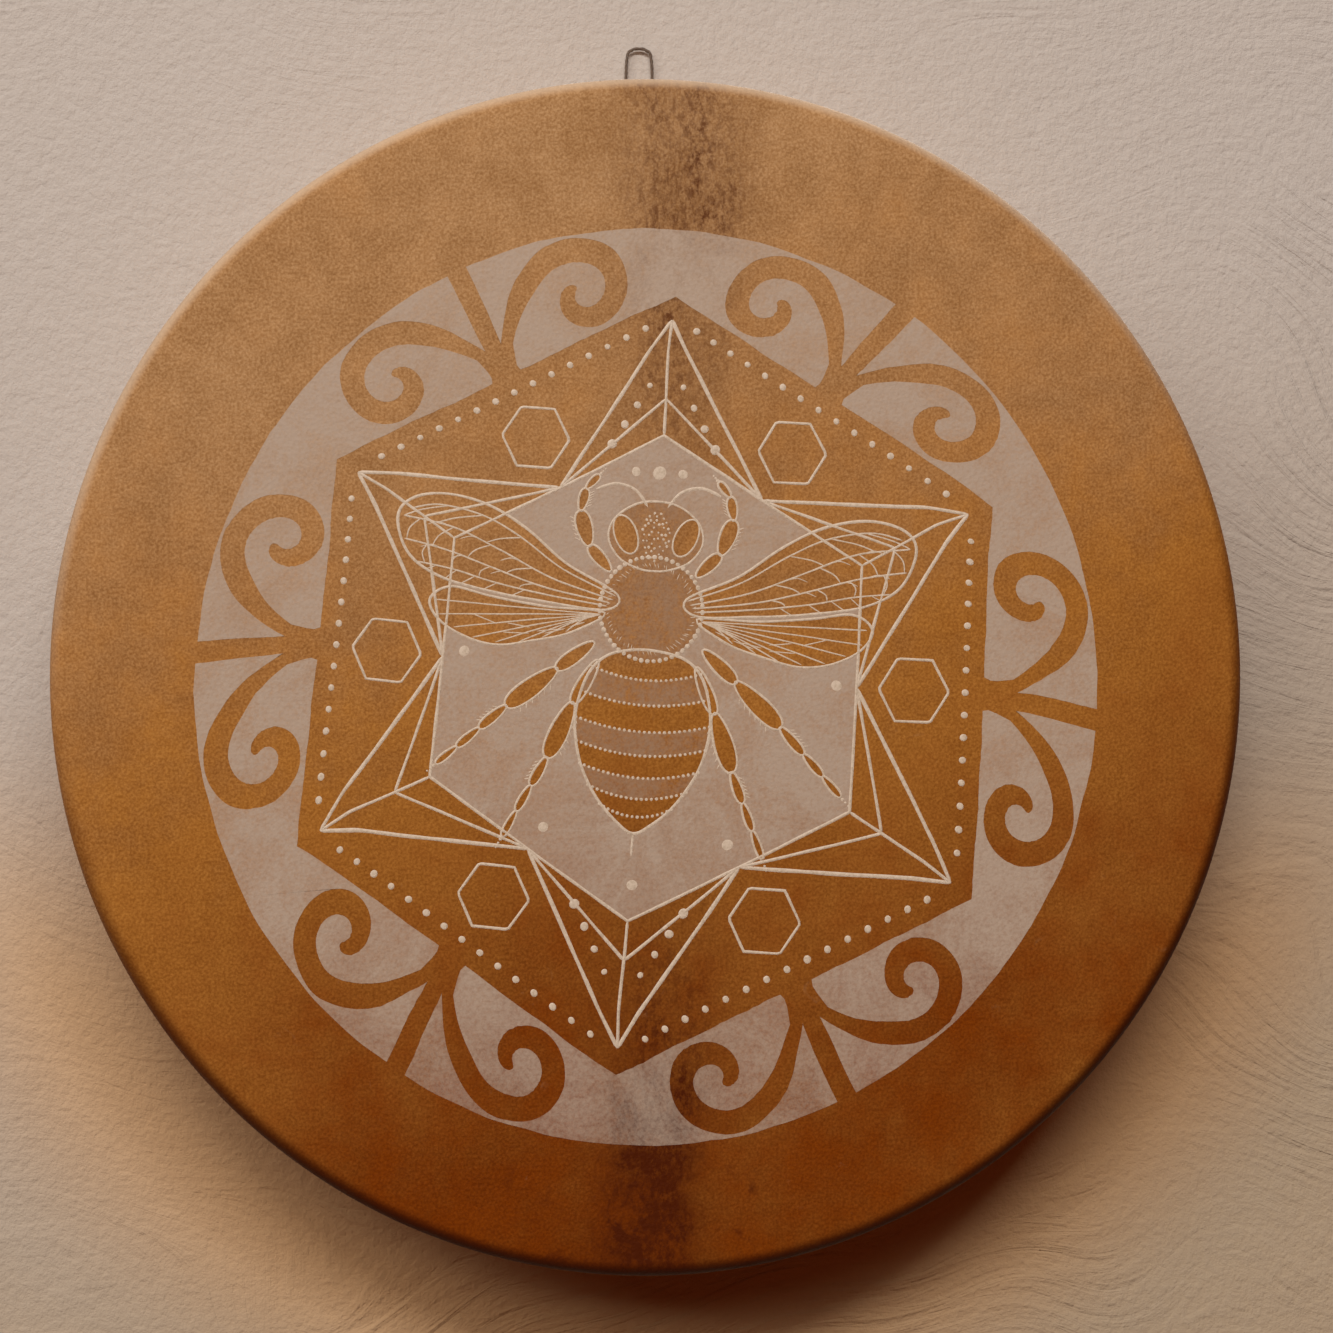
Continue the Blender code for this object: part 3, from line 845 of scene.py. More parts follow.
def at_hole(angle):
    """1 at the angle of a lacing hole and 0 half way between two."""
    return ((1 + cos(HOLE_COUNT * (angle - HOLE_PITCH / 2))) / 2) ** 1.5


def round_noise(angle, y, along, scale, seed):
    """Noise on the cylinder, so that it closes up after a full turn."""
    reach = RADIUS * along
    return noise.noise(Vector((reach * cos(angle) + seed, y * scale, reach * sin(angle) - seed)))


def head_lift(angle, radius, y, kind):
    """How far the hide's surface stands out of its plain shape along its normal."""
    if kind == "face":
        near_rim = max(0.0, (radius - FACE_RIPPLE_START) / FACE_RIPPLE_BREADTH) ** 2
        return FACE_RIPPLE * near_rim * round_noise(angle, radius, 40.0, 60.0, 3.0)
    pull = at_hole(angle)
    if kind == "wall":
        share = unit((y - PLEAT_START) / (PLEAT_FULL - PLEAT_START))
        share = share * share * (3 - 2 * share)
        crease = round_noise(angle, y, 120.0, 22.0, 7.0)
        fine = round_noise(angle, y, 330.0, 40.0, 11.0)
        return max(-0.0001, share * PLEAT * (0.40 * pull + 0.55 * crease + 0.30 * fine + 0.12))
    if kind == "back":
        crease = round_noise(angle, PLEAT_FULL, 120.0, 22.0, 7.0)
        return 0.00025 + 0.0003 * crease
    edge = unit((HOLE_CIRCLE + 0.006 - radius) / 0.013)
    wave = round_noise(angle, 0.0, 110.0, 1.0, 5.0)
    return 0.0001 + HEM_WAVE * edge * (1 - pull) * wave


def head_grid(rows):
    """Angle and radius of each grid point, with the hem scalloped and the holes drawn round."""
    angles = np.tile(np.arange(HEAD_COLUMNS) * 2 * pi / HEAD_COLUMNS, (len(rows), 1))
    radii = np.tile(np.array([row[0] for row in rows])[:, None], (1, HEAD_COLUMNS))
    centre_row = min(range(len(rows)), key=lambda i: abs(rows[i][0] - HOLE_CIRCLE) + (rows[i][4] != "hem"))
    for i, row in enumerate(rows):
        if row[4] != "hem":
            continue
        share = unit((SCALLOP_START - row[0]) / (SCALLOP_START - HEM_RADIUS))
        for j in range(HEAD_COLUMNS):
            angle = angles[i, j]
            size = 0.8 + 0.5 * noise.noise(Vector((round(angle / HOLE_PITCH) * 3.7, 0.4, 0.0)))
            radii[i, j] += SCALLOP * size * share * (1 - at_hole(angle))
    for middle in HOLE_COLUMNS:
        centre_angle = middle * 2 * pi / HEAD_COLUMNS
        for di, dj in hole_edge():
            turn = atan2(-di * HEM_ROW_PITCH, dj * 2 * pi * HOLE_CIRCLE / HEAD_COLUMNS)
            column = (middle + dj) % HEAD_COLUMNS
            angles[centre_row + di, column] = centre_angle + HOLE_RADIUS * cos(turn) / HOLE_CIRCLE
            radii[centre_row + di, column] = HOLE_CIRCLE + HOLE_RADIUS * sin(turn)
    return angles, radii, centre_row


def hole_edge():
    """Row and column steps round the block of cells that a hole replaces, in order."""
    n = HOLE_CELLS
    top = [(-n, j) for j in range(-n, n)]
    right = [(i, n) for i in range(-n, n)]
    bottom = [(n, j) for j in range(n, -n, -1)]
    left = [(i, -n) for i in range(n, -n, -1)]
    return top + right + bottom + left


def make_head():
    rows = head_rows()
    angles, radii, centre_row = head_grid(rows)
    count, columns = len(rows), HEAD_COLUMNS
    vertices = []
    for side in (0, 1):
        for i, (_, row_y, normal_r, normal_y, kind) in enumerate(rows):
            for j in range(columns):
                angle, radius = angles[i, j], radii[i, j]
                y = hem_surface_y(radius) if kind == "hem" else row_y
                lift = head_lift(angle, radius, y, kind) - side * HIDE
                vertices.append(polar(radius + lift * normal_r, angle, y + lift * normal_y))
    inner = count * columns
    lip = len(vertices)
    for j in range(columns):
        outside, inside = vertices[inner - columns + j], vertices[2 * inner - columns + j]
        inwards = polar(-1.0, angles[count - 1, j], 0.0)
        vertices.append((outside + inside) / 2 + LIP * (inwards + Vector((0, -0.35, 0))))
    face_pole = len(vertices)
    vertices.append(Vector((0, 0, 0)))
    vertices.append(Vector((0, HIDE, 0)))
    blocked = set()
    for middle in HOLE_COLUMNS:
        for di in range(-HOLE_CELLS, HOLE_CELLS):
            for dj in range(-HOLE_CELLS, HOLE_CELLS):
                blocked.add((centre_row + di, (middle + dj) % columns))
    outer_faces, inner_faces = [], []
    for j in range(columns):
        k = (j + 1) % columns
        outer_faces.append((face_pole, k, j))
        inner_faces.append((face_pole + 1, inner + j, inner + k))
        for i in range(count - 1):
            if (i, j) in blocked:
                continue
            here, there = i * columns, (i + 1) * columns
            square = (here + j, here + k, there + k, there + j)
            outer_faces.append(square)
            inner_faces.append(tuple(inner + v for v in square[::-1]))
        last = (count - 1) * columns
        outer_faces.append((last + j, last + k, lip + k, lip + j))
        inner_faces.append((lip + j, lip + k, inner + last + k, inner + last + j))
    for middle in HOLE_COLUMNS:
        edge = [(centre_row + di) * columns + (middle + dj) % columns for di, dj in hole_edge()]
        for a, b in zip(edge, edge[1:] + edge[:1]):
            outer_faces.append((a, b, inner + b, inner + a))
    used = sorted({v for face in outer_faces + inner_faces for v in face})
    renumber = {old: new for new, old in enumerate(used)}
    faces = [tuple(renumber[v] for v in face) for face in outer_faces + inner_faces]
    head = add_piece("hide_head", [vertices[v] for v in used], faces, hide_material(), "hide")
    head.data.materials.append(flesh_side_material())
    material_index = np.zeros(len(faces), dtype=np.int32)
    material_index[len(outer_faces):] = 1
    head.data.polygons.foreach_set("material_index", material_index)
    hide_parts("drum_head")


# Hoop, grip ring, leather and lacing ---------------------------------------------------------------------

HOOP_COLUMNS = 480
SCARF_ANGLE = pi
SCARF_HALF_LENGTH = 0.045
SCARF_GROOVE = 0.00035
SCARF_GROOVE_HALF_WIDTH = 0.0016
SAW_RIPPLE = 0.00012


def hoop_section():
    """The hoop's strip in section, (radius, y): rounded edges and a bearing edge that falls away inside."""
    outer = RADIUS - HIDE - GAP
    inner = outer - HOOP_THICKNESS
    front = HIDE + GAP
    back = DEPTH - HIDE - GAP
    section = [(inner, y) for y in np.linspace(front + 0.0052, back - 0.0012, 14)]
    section += [(inner + 0.0004, back - 0.0004), (inner + 0.0012, back)]
    section += [(outer - 0.0028, back), (outer - 0.0010, back - 0.0010), (outer, back - 0.0028)]
    section += [(outer, front + 0.0034), (outer - 0.0012, front + 0.0012), (outer - 0.0034, front)]
    section += [(outer - 0.0045, front), (inner + 0.0014, front + 0.0026), (inner + 0.0003, front + 0.0038)]
    return section


def make_hoop():
    section = hoop_section()
    inner = min(r for r, _ in section)
    vertices = []
    for j in range(HOOP_COLUMNS):
        angle = 2 * pi * j / HOOP_COLUMNS
        for radius, y in section:
            shift = SAW_RIPPLE * round_noise(angle, y, 25.0, 30.0, 2.0) if radius < inner + 0.001 else 0.0
            line = SCARF_ANGLE + SCARF_HALF_LENGTH / inner * (2 * y / DEPTH - 1)
            away = abs(angle - line) * inner
            if radius < inner + 0.0005 and away < SCARF_GROOVE_HALF_WIDTH:
                shift += SCARF_GROOVE * (1 - away / SCARF_GROOVE_HALF_WIDTH)
            vertices.append(polar(radius + shift, angle, y))
    faces = tube_faces(0, HOOP_COLUMNS, len(section), closed=True)
    hoop = add_piece("hoop_wood", vertices, faces, wood_material(), "wood")
    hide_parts("hoop")


WELD_ANGLE = radians(24)
WELD_HALF_ARC = radians(3.2)
WELD_SWELL = 0.10
RING_STEPS = 180
RING_SIDES = 20


def make_grip_ring():
    """Round steel wire bent to a ring, with the low bead of its butt weld."""
    vertices = []
    for j in range(RING_STEPS):
        angle = 2 * pi * j / RING_STEPS
        near = max(0.0, 1 - abs(angle - WELD_ANGLE) / WELD_HALF_ARC)
        wire = RING_WIRE * (1 + WELD_SWELL * sqrt(near) * (1 + 0.35 * sin(95 * angle)))
        for k in range(RING_SIDES):
            a = 2 * pi * k / RING_SIDES
            vertices.append(polar(RING_RADIUS + wire * cos(a), angle, RING_Y + wire * sin(a)))
    faces = []
    for j in range(RING_STEPS):
        for k in range(RING_SIDES):
            n, m = (j + 1) % RING_STEPS, (k + 1) % RING_SIDES
            faces.append((j * RING_SIDES + k, n * RING_SIDES + k, n * RING_SIDES + m, j * RING_SIDES + m))
    ring = add_piece("steel_ring", vertices, faces, steel_material(), "steel")
    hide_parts("grip_ring")


WRAP_LENGTH = 2 * LEATHER_HALF_ARC * RING_RADIUS
WRAP_BORE = RING_WIRE + 0.0001
WRAP_PITCH = 0.0066
WRAP_STEP = 0.00085  # how far one turn's edge stands over the next
WRAP_EDGE = 0.07  # the free edge's share of the strip's width
WRAP_STEPS = 96
WRAP_SIDES = 36


def wrap_radius(length, share):
    """A strip wound in a spiral: thin where a turn starts and thickest at its free edge."""
    phase = (length / WRAP_PITCH - share) % 1.0
    edge = phase / (1 - WRAP_EDGE) if phase < 1 - WRAP_EDGE else (1 - phase) / WRAP_EDGE
    shrink = min(1.0, 0.62 + 0.38 * min(length, WRAP_LENGTH - length) / LEATHER)
    return RING_WIRE + GAP + (LEATHER - WRAP_STEP) * shrink + WRAP_STEP * edge * shrink


def make_ring_wraps():
    material = leather_material()
    for fan in range(FANS):
        middle = (fan + 0.5) * 2 * pi / FANS
        line = []
        for i in range(WRAP_STEPS + 1):
            line.append(polar(RING_RADIUS, middle + LEATHER_HALF_ARC * (2 * i / WRAP_STEPS - 1), RING_Y))
        vertices, faces, route = sweep(line, wrap_radius, WRAP_SIDES)
        bore, bore_faces, bore_route = sweep(line, lambda length, share: WRAP_BORE, WRAP_SIDES)
        outer_count = len(vertices)
        faces = faces[:-2] + [tuple(outer_count + v for v in face[::-1]) for face in bore_faces[:-2]]
        for k in range(WRAP_SIDES):
            n = (k + 1) % WRAP_SIDES
            last = outer_count - WRAP_SIDES
            faces.append((n, k, outer_count + k, outer_count + n))
            faces.append((last + k, last + n, outer_count + last + n, outer_count + last + k))
        marks = [(length, (length / WRAP_PITCH - share) % 1.0) for length, share in route]
        wrap = add_piece(f"leather_wrap_{fan + 1}", vertices + bore, faces, material, "wrap_leather")
        map_strip(wrap, marks + [(length, 0.4) for length, _ in bore_route])
        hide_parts(f"ring_wrap_{fan + 1}")


def map_strip(piece, marks):
    """(length, share of the strip's width) for a spiral wrap, without blending across the strip's edge."""
    layer = piece.data.uv_layers.new(name="route")
    for polygon in piece.data.polygons:
        for loop, vertex in zip(polygon.loop_indices, polygon.vertices):
            layer.data[loop].uv = marks[vertex]


def lace_angles(index):
    """The angles of a lace's two holes and of its place on the grip ring."""
    fan, place = divmod(index, LACES_PER_FAN)
    offset = place - (LACES_PER_FAN - 1) / 2
    fan_angle = fan * 2 * pi / FANS
    middle = fan_angle + offset * 2 * HOLE_PITCH
    return middle - HOLE_PITCH / 2, middle + HOLE_PITCH / 2, fan_angle + offset * RING_PITCH


def lace_end(angle, towards):
    """A lace's end: its knot inside the hem, the hole, and the bend inwards over the hem."""
    outside = hem_surface_y(HOLE_CIRCLE)
    knot_top = outside - HIDE - KNOT_CLEARANCE
    hole = polar(HOLE_CIRCLE, angle, 0)
    inwards = towards - hole
    inwards.y = 0
    inwards.normalize()
    points = []
    for i in range(len(KNOT_SWELL)):
        y = knot_top - KNOT_LENGTH * (1 - i / (len(KNOT_SWELL) - 1))
        points.append(hole + Vector((0, y, 0)))
    for height, reach in ((0.0002, 0.0), (0.0009, 0.0004), (LACE_RADIUS, LACE_RADIUS)):
        points.append(hole + reach * inwards + Vector((0, outside + height, 0)))
    return points


def ring_turn(first, second, ring_angle):
    """A lace's half turn round the ring: over its back, round its inner side and out in front."""
    centre = polar(RING_RADIUS, ring_angle, RING_Y)
    outwards = (polar(HOLE_CIRCLE, (first + second) / 2, RING_Y) - centre).normalized()
    sideways = Vector((-outwards.z, 0, outwards.x))
    reach = RING_WIRE + LACE_RADIUS + 2 * GAP
    points = []
    for i in range(WRAP_POINTS):
        share = i / (WRAP_POINTS - 1)
        around = cos(pi * share) * Vector((0, 1, 0)) - sin(pi * share) * outwards
        points.append(centre + reach * around + WRAP_DRIFT * (2 * share - 1) * sideways)
    return points


THONG_TWIST = 0.021  # length in which the dried strip goes once round
THONG_SPACING = 0.0014
THONG_SIDES = 12
THONG_FLATNESS = 0.20
THONG_FOLD = 0.10
KNOT_BULGE = 0.85


def thong_section(twist_start, knots):
    """Radius of a twisted strip: an oval that turns along the lace, and swells at its two knots."""
    def section(length, share):
        turn = 2 * pi * (share - length / THONG_TWIST) + twist_start
        oval = 1.0 - THONG_FLATNESS * sin(turn) ** 2
        fold = 1.0 - THONG_FOLD * max(0.0, cos(3 * turn + 1.0)) ** 3
        size = 1.0
        for start, end in knots:
            if start <= length <= end:
                share_in = (length - start) / (end - start)
                bulge = sin(pi * share_in) ** 0.7
                size += KNOT_BULGE * bulge * (1 + 0.10 * sin(2 * turn + length * 1800))
        return LACE_RADIUS * oval * fold * size
    return section


def make_laces():
    material = thong_material()
    draw = random.Random(11)
    for index in range(LACE_COUNT):
        first, second, ring_angle = lace_angles(index)
        turn = ring_turn(first, second, ring_angle)
        points = lace_end(first, turn[0]) + turn + lace_end(second, turn[-1])[::-1]
        path = evenly(points, THONG_SPACING)
        full = sum((b - a).length for a, b in zip(path, path[1:]))
        knots = ((0.0, KNOT_LENGTH), (full - KNOT_LENGTH, full))
        section = thong_section(draw.uniform(0, 2 * pi), knots)
        number = f"{index + 1:02d}"
        shared = (THONG_SIDES, material, "lace")
        thong = add_tube(f"thong_{number}", path, section, *shared, start=draw.uniform(0, 5))
        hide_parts(f"lace_{number}")


# Painting ------------------------------------------------------------------------------------------------


def art_point(point, proud=0.0):
    """A point of the painting, in millimetres, as a place on the head that stands off it by proud."""
    reach = hypot(point[0], point[1])
    inside = unit((INNER_LIMIT - reach) / INNER_BLEND)
    swing = INNER_WARP * (min(reach, WINDOW_VERTEX) / INNER_REACH) ** 2
    warp = clock(swing, INNER_WARP_ANGLE + 2 * degrees(atan2(point[0], point[1])))
    x = 0.001 * ART_WIDTH * (point[0] + inside * (INNER_SHIFT.x + warp.x))
    z = 0.001 * ART_HEIGHT * (point[1] + inside * (INNER_SHIFT.y + warp.y))
    c, s = cos(ART_TURN), sin(ART_TURN)
    return Vector((ART_CENTRE[0] + x * c - z * s, -0.001 * proud, ART_CENTRE[1] + x * s + z * c))


def clock(radius, angle):
    """The point at that radius and angle in degrees; 0 is up and the angle goes clockwise."""
    return Vector((radius * sin(radians(angle)), radius * cos(radians(angle))))


def flip(points):
    return [Vector((-p.x, p.y)) for p in points]


def by_hand(points, reach=0.22, scale=0.07, rough=0.0):
    """The same line as a steady hand paints it: never quite true."""
    line = []
    for p in points:
        across = noise.noise(Vector((p.x * scale, p.y * scale, 1.7)))
        along = noise.noise(Vector((p.x * scale, p.y * scale, 9.3)))
        fine = rough * noise.noise(Vector((p.x * 1.1, p.y * 1.1, 4.1)))
        line.append(p + Vector((reach * across + fine, reach * along - fine)))
    return line


def dense(points, spacing, closed=True):
    """The same polygon with extra points along its straight sides."""
    ends = points[1:] + points[:1] if closed else points[1:]
    line = []
    for a, b in zip(points, ends):
        steps = max(1, ceil((b - a).length / spacing))
        for i in range(steps):
            line.append(a.lerp(b, i / steps))
    if not closed:
        line.append(points[-1])
    return line


class Layer:
    """One painted layer of the head: flat washes, raised lines and dots, gathered as a single piece."""

    def __init__(self, origin=(0.0, 0.0)):
        self.origin = Vector(origin)
        self.vertices = []
        self.faces = []

    def add(self, point, proud):
        self.vertices.append(art_point(self.origin + Vector((point[0], point[1])), proud))

    def wash(self, outline, proud):
        """A thin flat skin of paint inside a closed outline."""
        start, count = len(self.vertices), len(outline)
        flat = [Vector((p.x, p.y, 0.0)) for p in outline]
        for height in (proud, SUNK):
            for p in outline:
                self.add(p, height)
        for a, b, c in geometry.tessellate_polygon([flat]):
            turn = (flat[b] - flat[a]).cross(flat[c] - flat[a]).z
            front = (a, b, c) if turn > 0 else (a, c, b)
            self.faces.append(tuple(start + v for v in front))
            self.faces.append(tuple(start + count + v for v in front[::-1]))
        area = sum(a.x * b.y - b.x * a.y for a, b in zip(flat, flat[1:] + flat[:1]))
        for i in range(count):
            k = (i + 1) % count
            side = (start + i, start + count + i, start + count + k, start + k)
            self.faces.append(side if area > 0 else side[::-1])

    def line(self, points, width, closed=False, height=LINE_HEIGHT, spacing=1.4, hand=0.14):
        """A raised line of paint, rounded in section and tapered at its free ends."""
        ring = list(points) + [points[0]] if closed else list(points)
        ring = evenly([Vector((p[0], p[1])) for p in ring], spacing)
        ring = by_hand(ring, hand)
        if closed:
            ring = ring[:-1]
        count = len(ring)
        start = len(self.vertices)
        for i, p in enumerate(ring):
            ahead = ring[(i + 1) % count] if closed or i < count - 1 else p
            behind = ring[i - 1] if closed or i else p
            along = (ahead - behind).normalized()
            across = Vector((-along.y, along.x))
            size = 1.0 + 0.24 * noise.noise(Vector((p.x * 0.11, p.y * 0.11, 6.0)))
            if not closed and i in (0, count - 1):
                size *= 0.45
            for offset, rise in LINE_SECTION:
                at = p + across * (0.5 * width * size * offset)
                self.add(at, height * rise * min(1.0, size + 0.2) if rise else SUNK)
        self.faces += tube_faces(start, count, len(LINE_SECTION), closed)

    def dot(self, centre, radius, height=LINE_HEIGHT, sides=12):
        start = len(self.vertices)
        size = radius * (1 + 0.22 * noise.noise(Vector((centre[0] * 0.7, centre[1] * 0.7, 2.0))))
        for reach, rise in ((1.0, -0.07), (0.86, 0.62), (0.5, 0.93)):
            for k in range(sides):
                a = 2 * pi * k / sides
                out = size * reach * (1 + 0.05 * sin(2 * a + centre[0]))
                self.add((centre[0] + out * cos(a), centre[1] + out * sin(a)), height * rise)
        self.add(centre, height)
        self.faces += tube_faces(start, 3, sides)[:-1]
        top = start + 3 * sides
        self.faces += [(top - sides + k, top - sides + (k + 1) % sides, top) for k in range(sides)]

    def piece(self, name, material, smooth=True):
        return add_piece(name, self.vertices, self.faces, material, "hide", smooth=smooth)


SCROLL_CENTRE = Vector((37.1, 15.2))  # along the window's edge from its middle, and out from it
SCROLL_RADIUS = 19.0
SCROLL_TIGHTENING = 0.0348  # millimetres a degree
SCROLL_MOUTH = 18.2  # how much wider it starts, where it leaves the stem
SCROLL_EASE = 27.3
SCROLL_START_ANGLE = 195.8
SCROLL_END = 446.0
SCROLL_TAPER = 220.0
SCROLL_WIDTH = 8.2
SCROLL_STEPS = 84
OUTER_START = 10  # degrees along the scroll at which each edge leaves the stem
INNER_START = 6
STEM_HALF_TOP = 3.75


def scroll_edge(sweep_angle, side):
    """A point on one edge of a bare scroll; side 1 is its outer edge and -1 its inner edge."""
    middle = SCROLL_RADIUS - SCROLL_TIGHTENING * sweep_angle + SCROLL_MOUTH * exp(-sweep_angle / SCROLL_EASE)
    width = SCROLL_WIDTH * min(1.0, 0.64 + sweep_angle / 120)
    if sweep_angle > SCROLL_TAPER:
        share = (sweep_angle - SCROLL_TAPER) / (SCROLL_END - SCROLL_TAPER)
        width *= sqrt(max(0.0, 1 - share * share))
    radius = middle + side * width / 2
    angle = radians(SCROLL_START_ANGLE - sweep_angle)
    return SCROLL_CENTRE + radius * Vector((cos(angle), sin(angle)))


def half_island():
    """Half of one painted island, in the window edge's frame: from its outer middle to its vertex."""
    outline = []
    stem = degrees(STEM_HALF_TOP / BAND_RADIUS)
    for i in range(25):
        off = radians(30 + (stem - 30) * i / 24)
        outline.append(Vector((BAND_RADIUS * sin(off), BAND_RADIUS * cos(off) - WINDOW_APOTHEM)))
    outline += dense([outline[-1], Vector((3.5, 24.0)), Vector((3.1, 11.6))], 2.0, False)[1:]
    for i in range(SCROLL_STEPS + 1):
        outline.append(scroll_edge(OUTER_START + (SCROLL_END - OUTER_START) * i / SCROLL_STEPS, 1))
    for i in range(1, SCROLL_STEPS + 1):
        outline.append(scroll_edge(SCROLL_END - (SCROLL_END - INNER_START) * i / SCROLL_STEPS, -1))
    outline += [Vector((5.4, 4.6)), Vector((5.0, 2.0)), Vector((5.6, 0.0))]
    outline += dense([outline[-1], Vector((WINDOW_VERTEX / 2, 0.0))], 2.0, False)[1:]
    return outline


def edge_frame(angle):
    """Unit steps out of the painting at that clock angle, and across."""
    out = clock(1.0, angle)
    return out, Vector((out.y, -out.x))


def from_edge(points, angle, mirrored):
    """Points given along and out from the window's edge at that clock angle, in the painting's frame."""
    out, along = edge_frame(angle)
    sign = -1 if mirrored else 1
    return [along * (sign * p.x) + out * (WINDOW_APOTHEM + p.y) for p in points]


def six_points(radius, turn=0, centre=Vector((0.0, 0.0))):
    return [centre + clock(radius, 60 * k + turn) for k in range(6)]


def paint_islands(material):
    half = half_island()
    for k in range(6):
        first = from_edge(half, 60 * k - 30, False)
        second = from_edge(half, 60 * k + 30, True)[::-1]
        island = by_hand(first + second[1:-1], 0.6, 0.07, 0.22)
        layer = Layer()
        layer.wash(island, WASH_PROUD)
        layer.piece(f"wash_island_{k + 1}", material, smooth=False)


def paint_hub(material):
    layer = Layer()
    outline = dense(six_points(HUB_VERTEX)[::-1], 2.0)
    layer.wash(by_hand(outline, 0.2, 0.07, 0.1), WASH_PROUD)
    layer.piece("wash_hub", material, smooth=False)


def paint_star(material):
    layer = Layer()
    corners = six_points(HUB_VERTEX)
    layer.line(dense(corners, 6.0), 1.15, closed=True)
    for k, corner in enumerate(corners):
        tip, ridge = clock(STAR_TIP, 60 * k), clock(RIDGE_END, 60 * k)
        for side in (-30, 30):
            valley = clock(STAR_VALLEY, 60 * k + side)
            layer.line([tip, valley], 1.35)
            layer.line([ridge, valley], 1.1)
        layer.line([tip, corner], 1.1)
    layer.piece("star_lines", material)


def paint_small_hexagons(material):
    layer = Layer()
    for centre in six_points(SMALL_HEXAGON_CENTRE, 30):
        layer.line(dense(six_points(SMALL_HEXAGON_VERTEX, 30, centre), 4.0), 0.95, closed=True)
    layer.piece("small_hexagons", material)


def paint_dots(material):
    """A dotted hexagon round the star, and four rows of dots that shrink along its top and bottom points."""
    layer = Layer()
    for k in range(6):
        out, along = edge_frame(60 * k + 30)
        for i in range(-7, 8):
            layer.dot(out * DOTTED_APOTHEM + along * (DOT_SPACING * i), 1.2)
    for angle in (0, 180):
        out, across = edge_frame(angle)
        for side in (-1, 1):
            for i in range(4):
                layer.dot(out * (78.5 + 7.1 * i) + across * (side * (18.3 - 4.1 * i)), 1.7 - 0.22 * i)
    layer.piece("painted_dots", material)


def paint_discs(material):
    """Plain discs round the bee and over its head."""
    layer = Layer(BEE_SHIFT)
    for at in ((-63.4, 6.2), (65.4, 4.0), (-30.5, -50.5), (32.0, -51.2), (1.2, -67.0)):
        layer.dot(at, 2.1, DISC_HEIGHT)
    for x, size in ((-8.3, 1.9), (0.0, 2.7), (8.3, 1.9)):
        layer.dot((x, 73.0), size, DISC_HEIGHT)
    layer.piece("painted_discs", material)


# A bee seen from above, of plain textbook shape: right-hand halves, millimetres
BEE_SHIFT = Vector((-0.9, -3.6))
FOREWING = ((12, 30), (30, 39), (45, 50), (60, 57.5), (75, 60), (87, 57), (91, 50), (86, 38), (74, 31),
            (55, 27.5), (35, 25.5), (16, 24.5))
HINDWING = ((16, 23.5), (36, 24), (56, 26), (70, 28), (77, 23), (73, 16), (63, 11), (52, 9.5), (40, 12),
            (27, 16))
FOREWING_RIBS = (((12, 29.3), (31, 37), (47, 47), (61, 53.5), (76, 56), (86, 54)),
                 ((13, 28), (34, 33.5), (54, 42), (71, 48.5), (89, 51)),
                 ((14, 27), (37, 30.5), (57, 36), (73, 40.5), (88, 43)),
                 ((15, 25.8), (36, 28), (56, 31), (70, 34), (83, 35.5)))
HINDWING_ENDS = ((29, 16), (37, 13.3), (45, 11), (53, 10.3), (61, 11.2), (68, 14), (73.5, 18), (75, 23))
ABDOMEN = ((0, 12), (12, 10), (19, 4), (22.5, -6), (23, -16), (20, -28), (13.5, -39), (6, -46.5), (0, -50))
ABDOMEN_BANDS = (5.0, -3.5, -12.5, -20.5, -28.0, -35.0, -41.0)
HEAD_OUTLINE = ((0, 63), (8, 61.5), (15, 56), (16.5, 49), (12, 42.5), (5, 39.5), (0, 39))
HIND_LEG = (((17, 7), (24.5, -8), (31.5, -27), (36, -37), (40, -46), (44, -55)), (4.6, 6.6, 3.4, 2.8, 2.4))
MIDDLE_LEG = (((19, 13), (31, 3), (47, -11), (55.5, -19.5), (62.5, -26.5), (69, -33)),
              (5.0, 6.6, 3.4, 2.8, 2.4))
FRONT_LEG = (((15, 38), (23, 46), (27, 58), (25.5, 66), (21, 71)), (4.4, 5.8, 3.6, 2.6))
ANTENNA = ((3.5, 61), (8, 66.5), (15, 68.5), (22, 66.0))
EYE_CENTRE = Vector((10.6, 51.0))
EYE_LEAN = Matrix.Rotation(radians(-24), 2)
EYE_HALF_WIDTH = 3.9
EYE_HALF_HEIGHT = 7.0
BEAD = 0.62
BEAD_SPACING = 1.75
RING_BEADS = 52
HAIRS = 64
THORAX_CENTRE = Vector((0.0, 26.0))
THORAX_RADIUS = 17.4


def curve_through(points, steps=8, closed=False):
    return smooth_line([Vector(p) for p in points], steps, closed)


def both_sides(points):
    """A closed outline from its right-hand half, which starts and ends on the middle line."""
    half = [Vector(p) for p in points]
    return smooth_line(half + flip(half[1:-1])[::-1], 8, True)


def abdomen_half_width(z, outline):
    """Half the abdomen's width at that height."""
    right = [p for p in outline if p.x >= 0]
    return max((p.x for p in right if abs(p.y - z) < 1.6), default=0.0)


def band_arc(z, outline):
    """One of the abdomen's rings: it sags towards the tail in its middle."""
    reach = abdomen_half_width(z, outline) - 0.3
    return [Vector((reach * i / 14, z - 3.4 * (1 - (i / 14) ** 2))) for i in range(-14, 15)]


def leg_segment(start, end, width):
    """A leg's joint as a slim leaf."""
    along = end - start
    across = Vector((-along.y, along.x)).normalized() * width / 2
    shape = ((0.0, 0.25), (0.2, 0.72), (0.55, 1.0), (0.85, 0.85), (1.0, 0.35))
    one = [start + along * t + across * w for t, w in shape]
    other = [start + along * t - across * w for t, w in shape[::-1]]
    return smooth_line(one + other, 3, True)


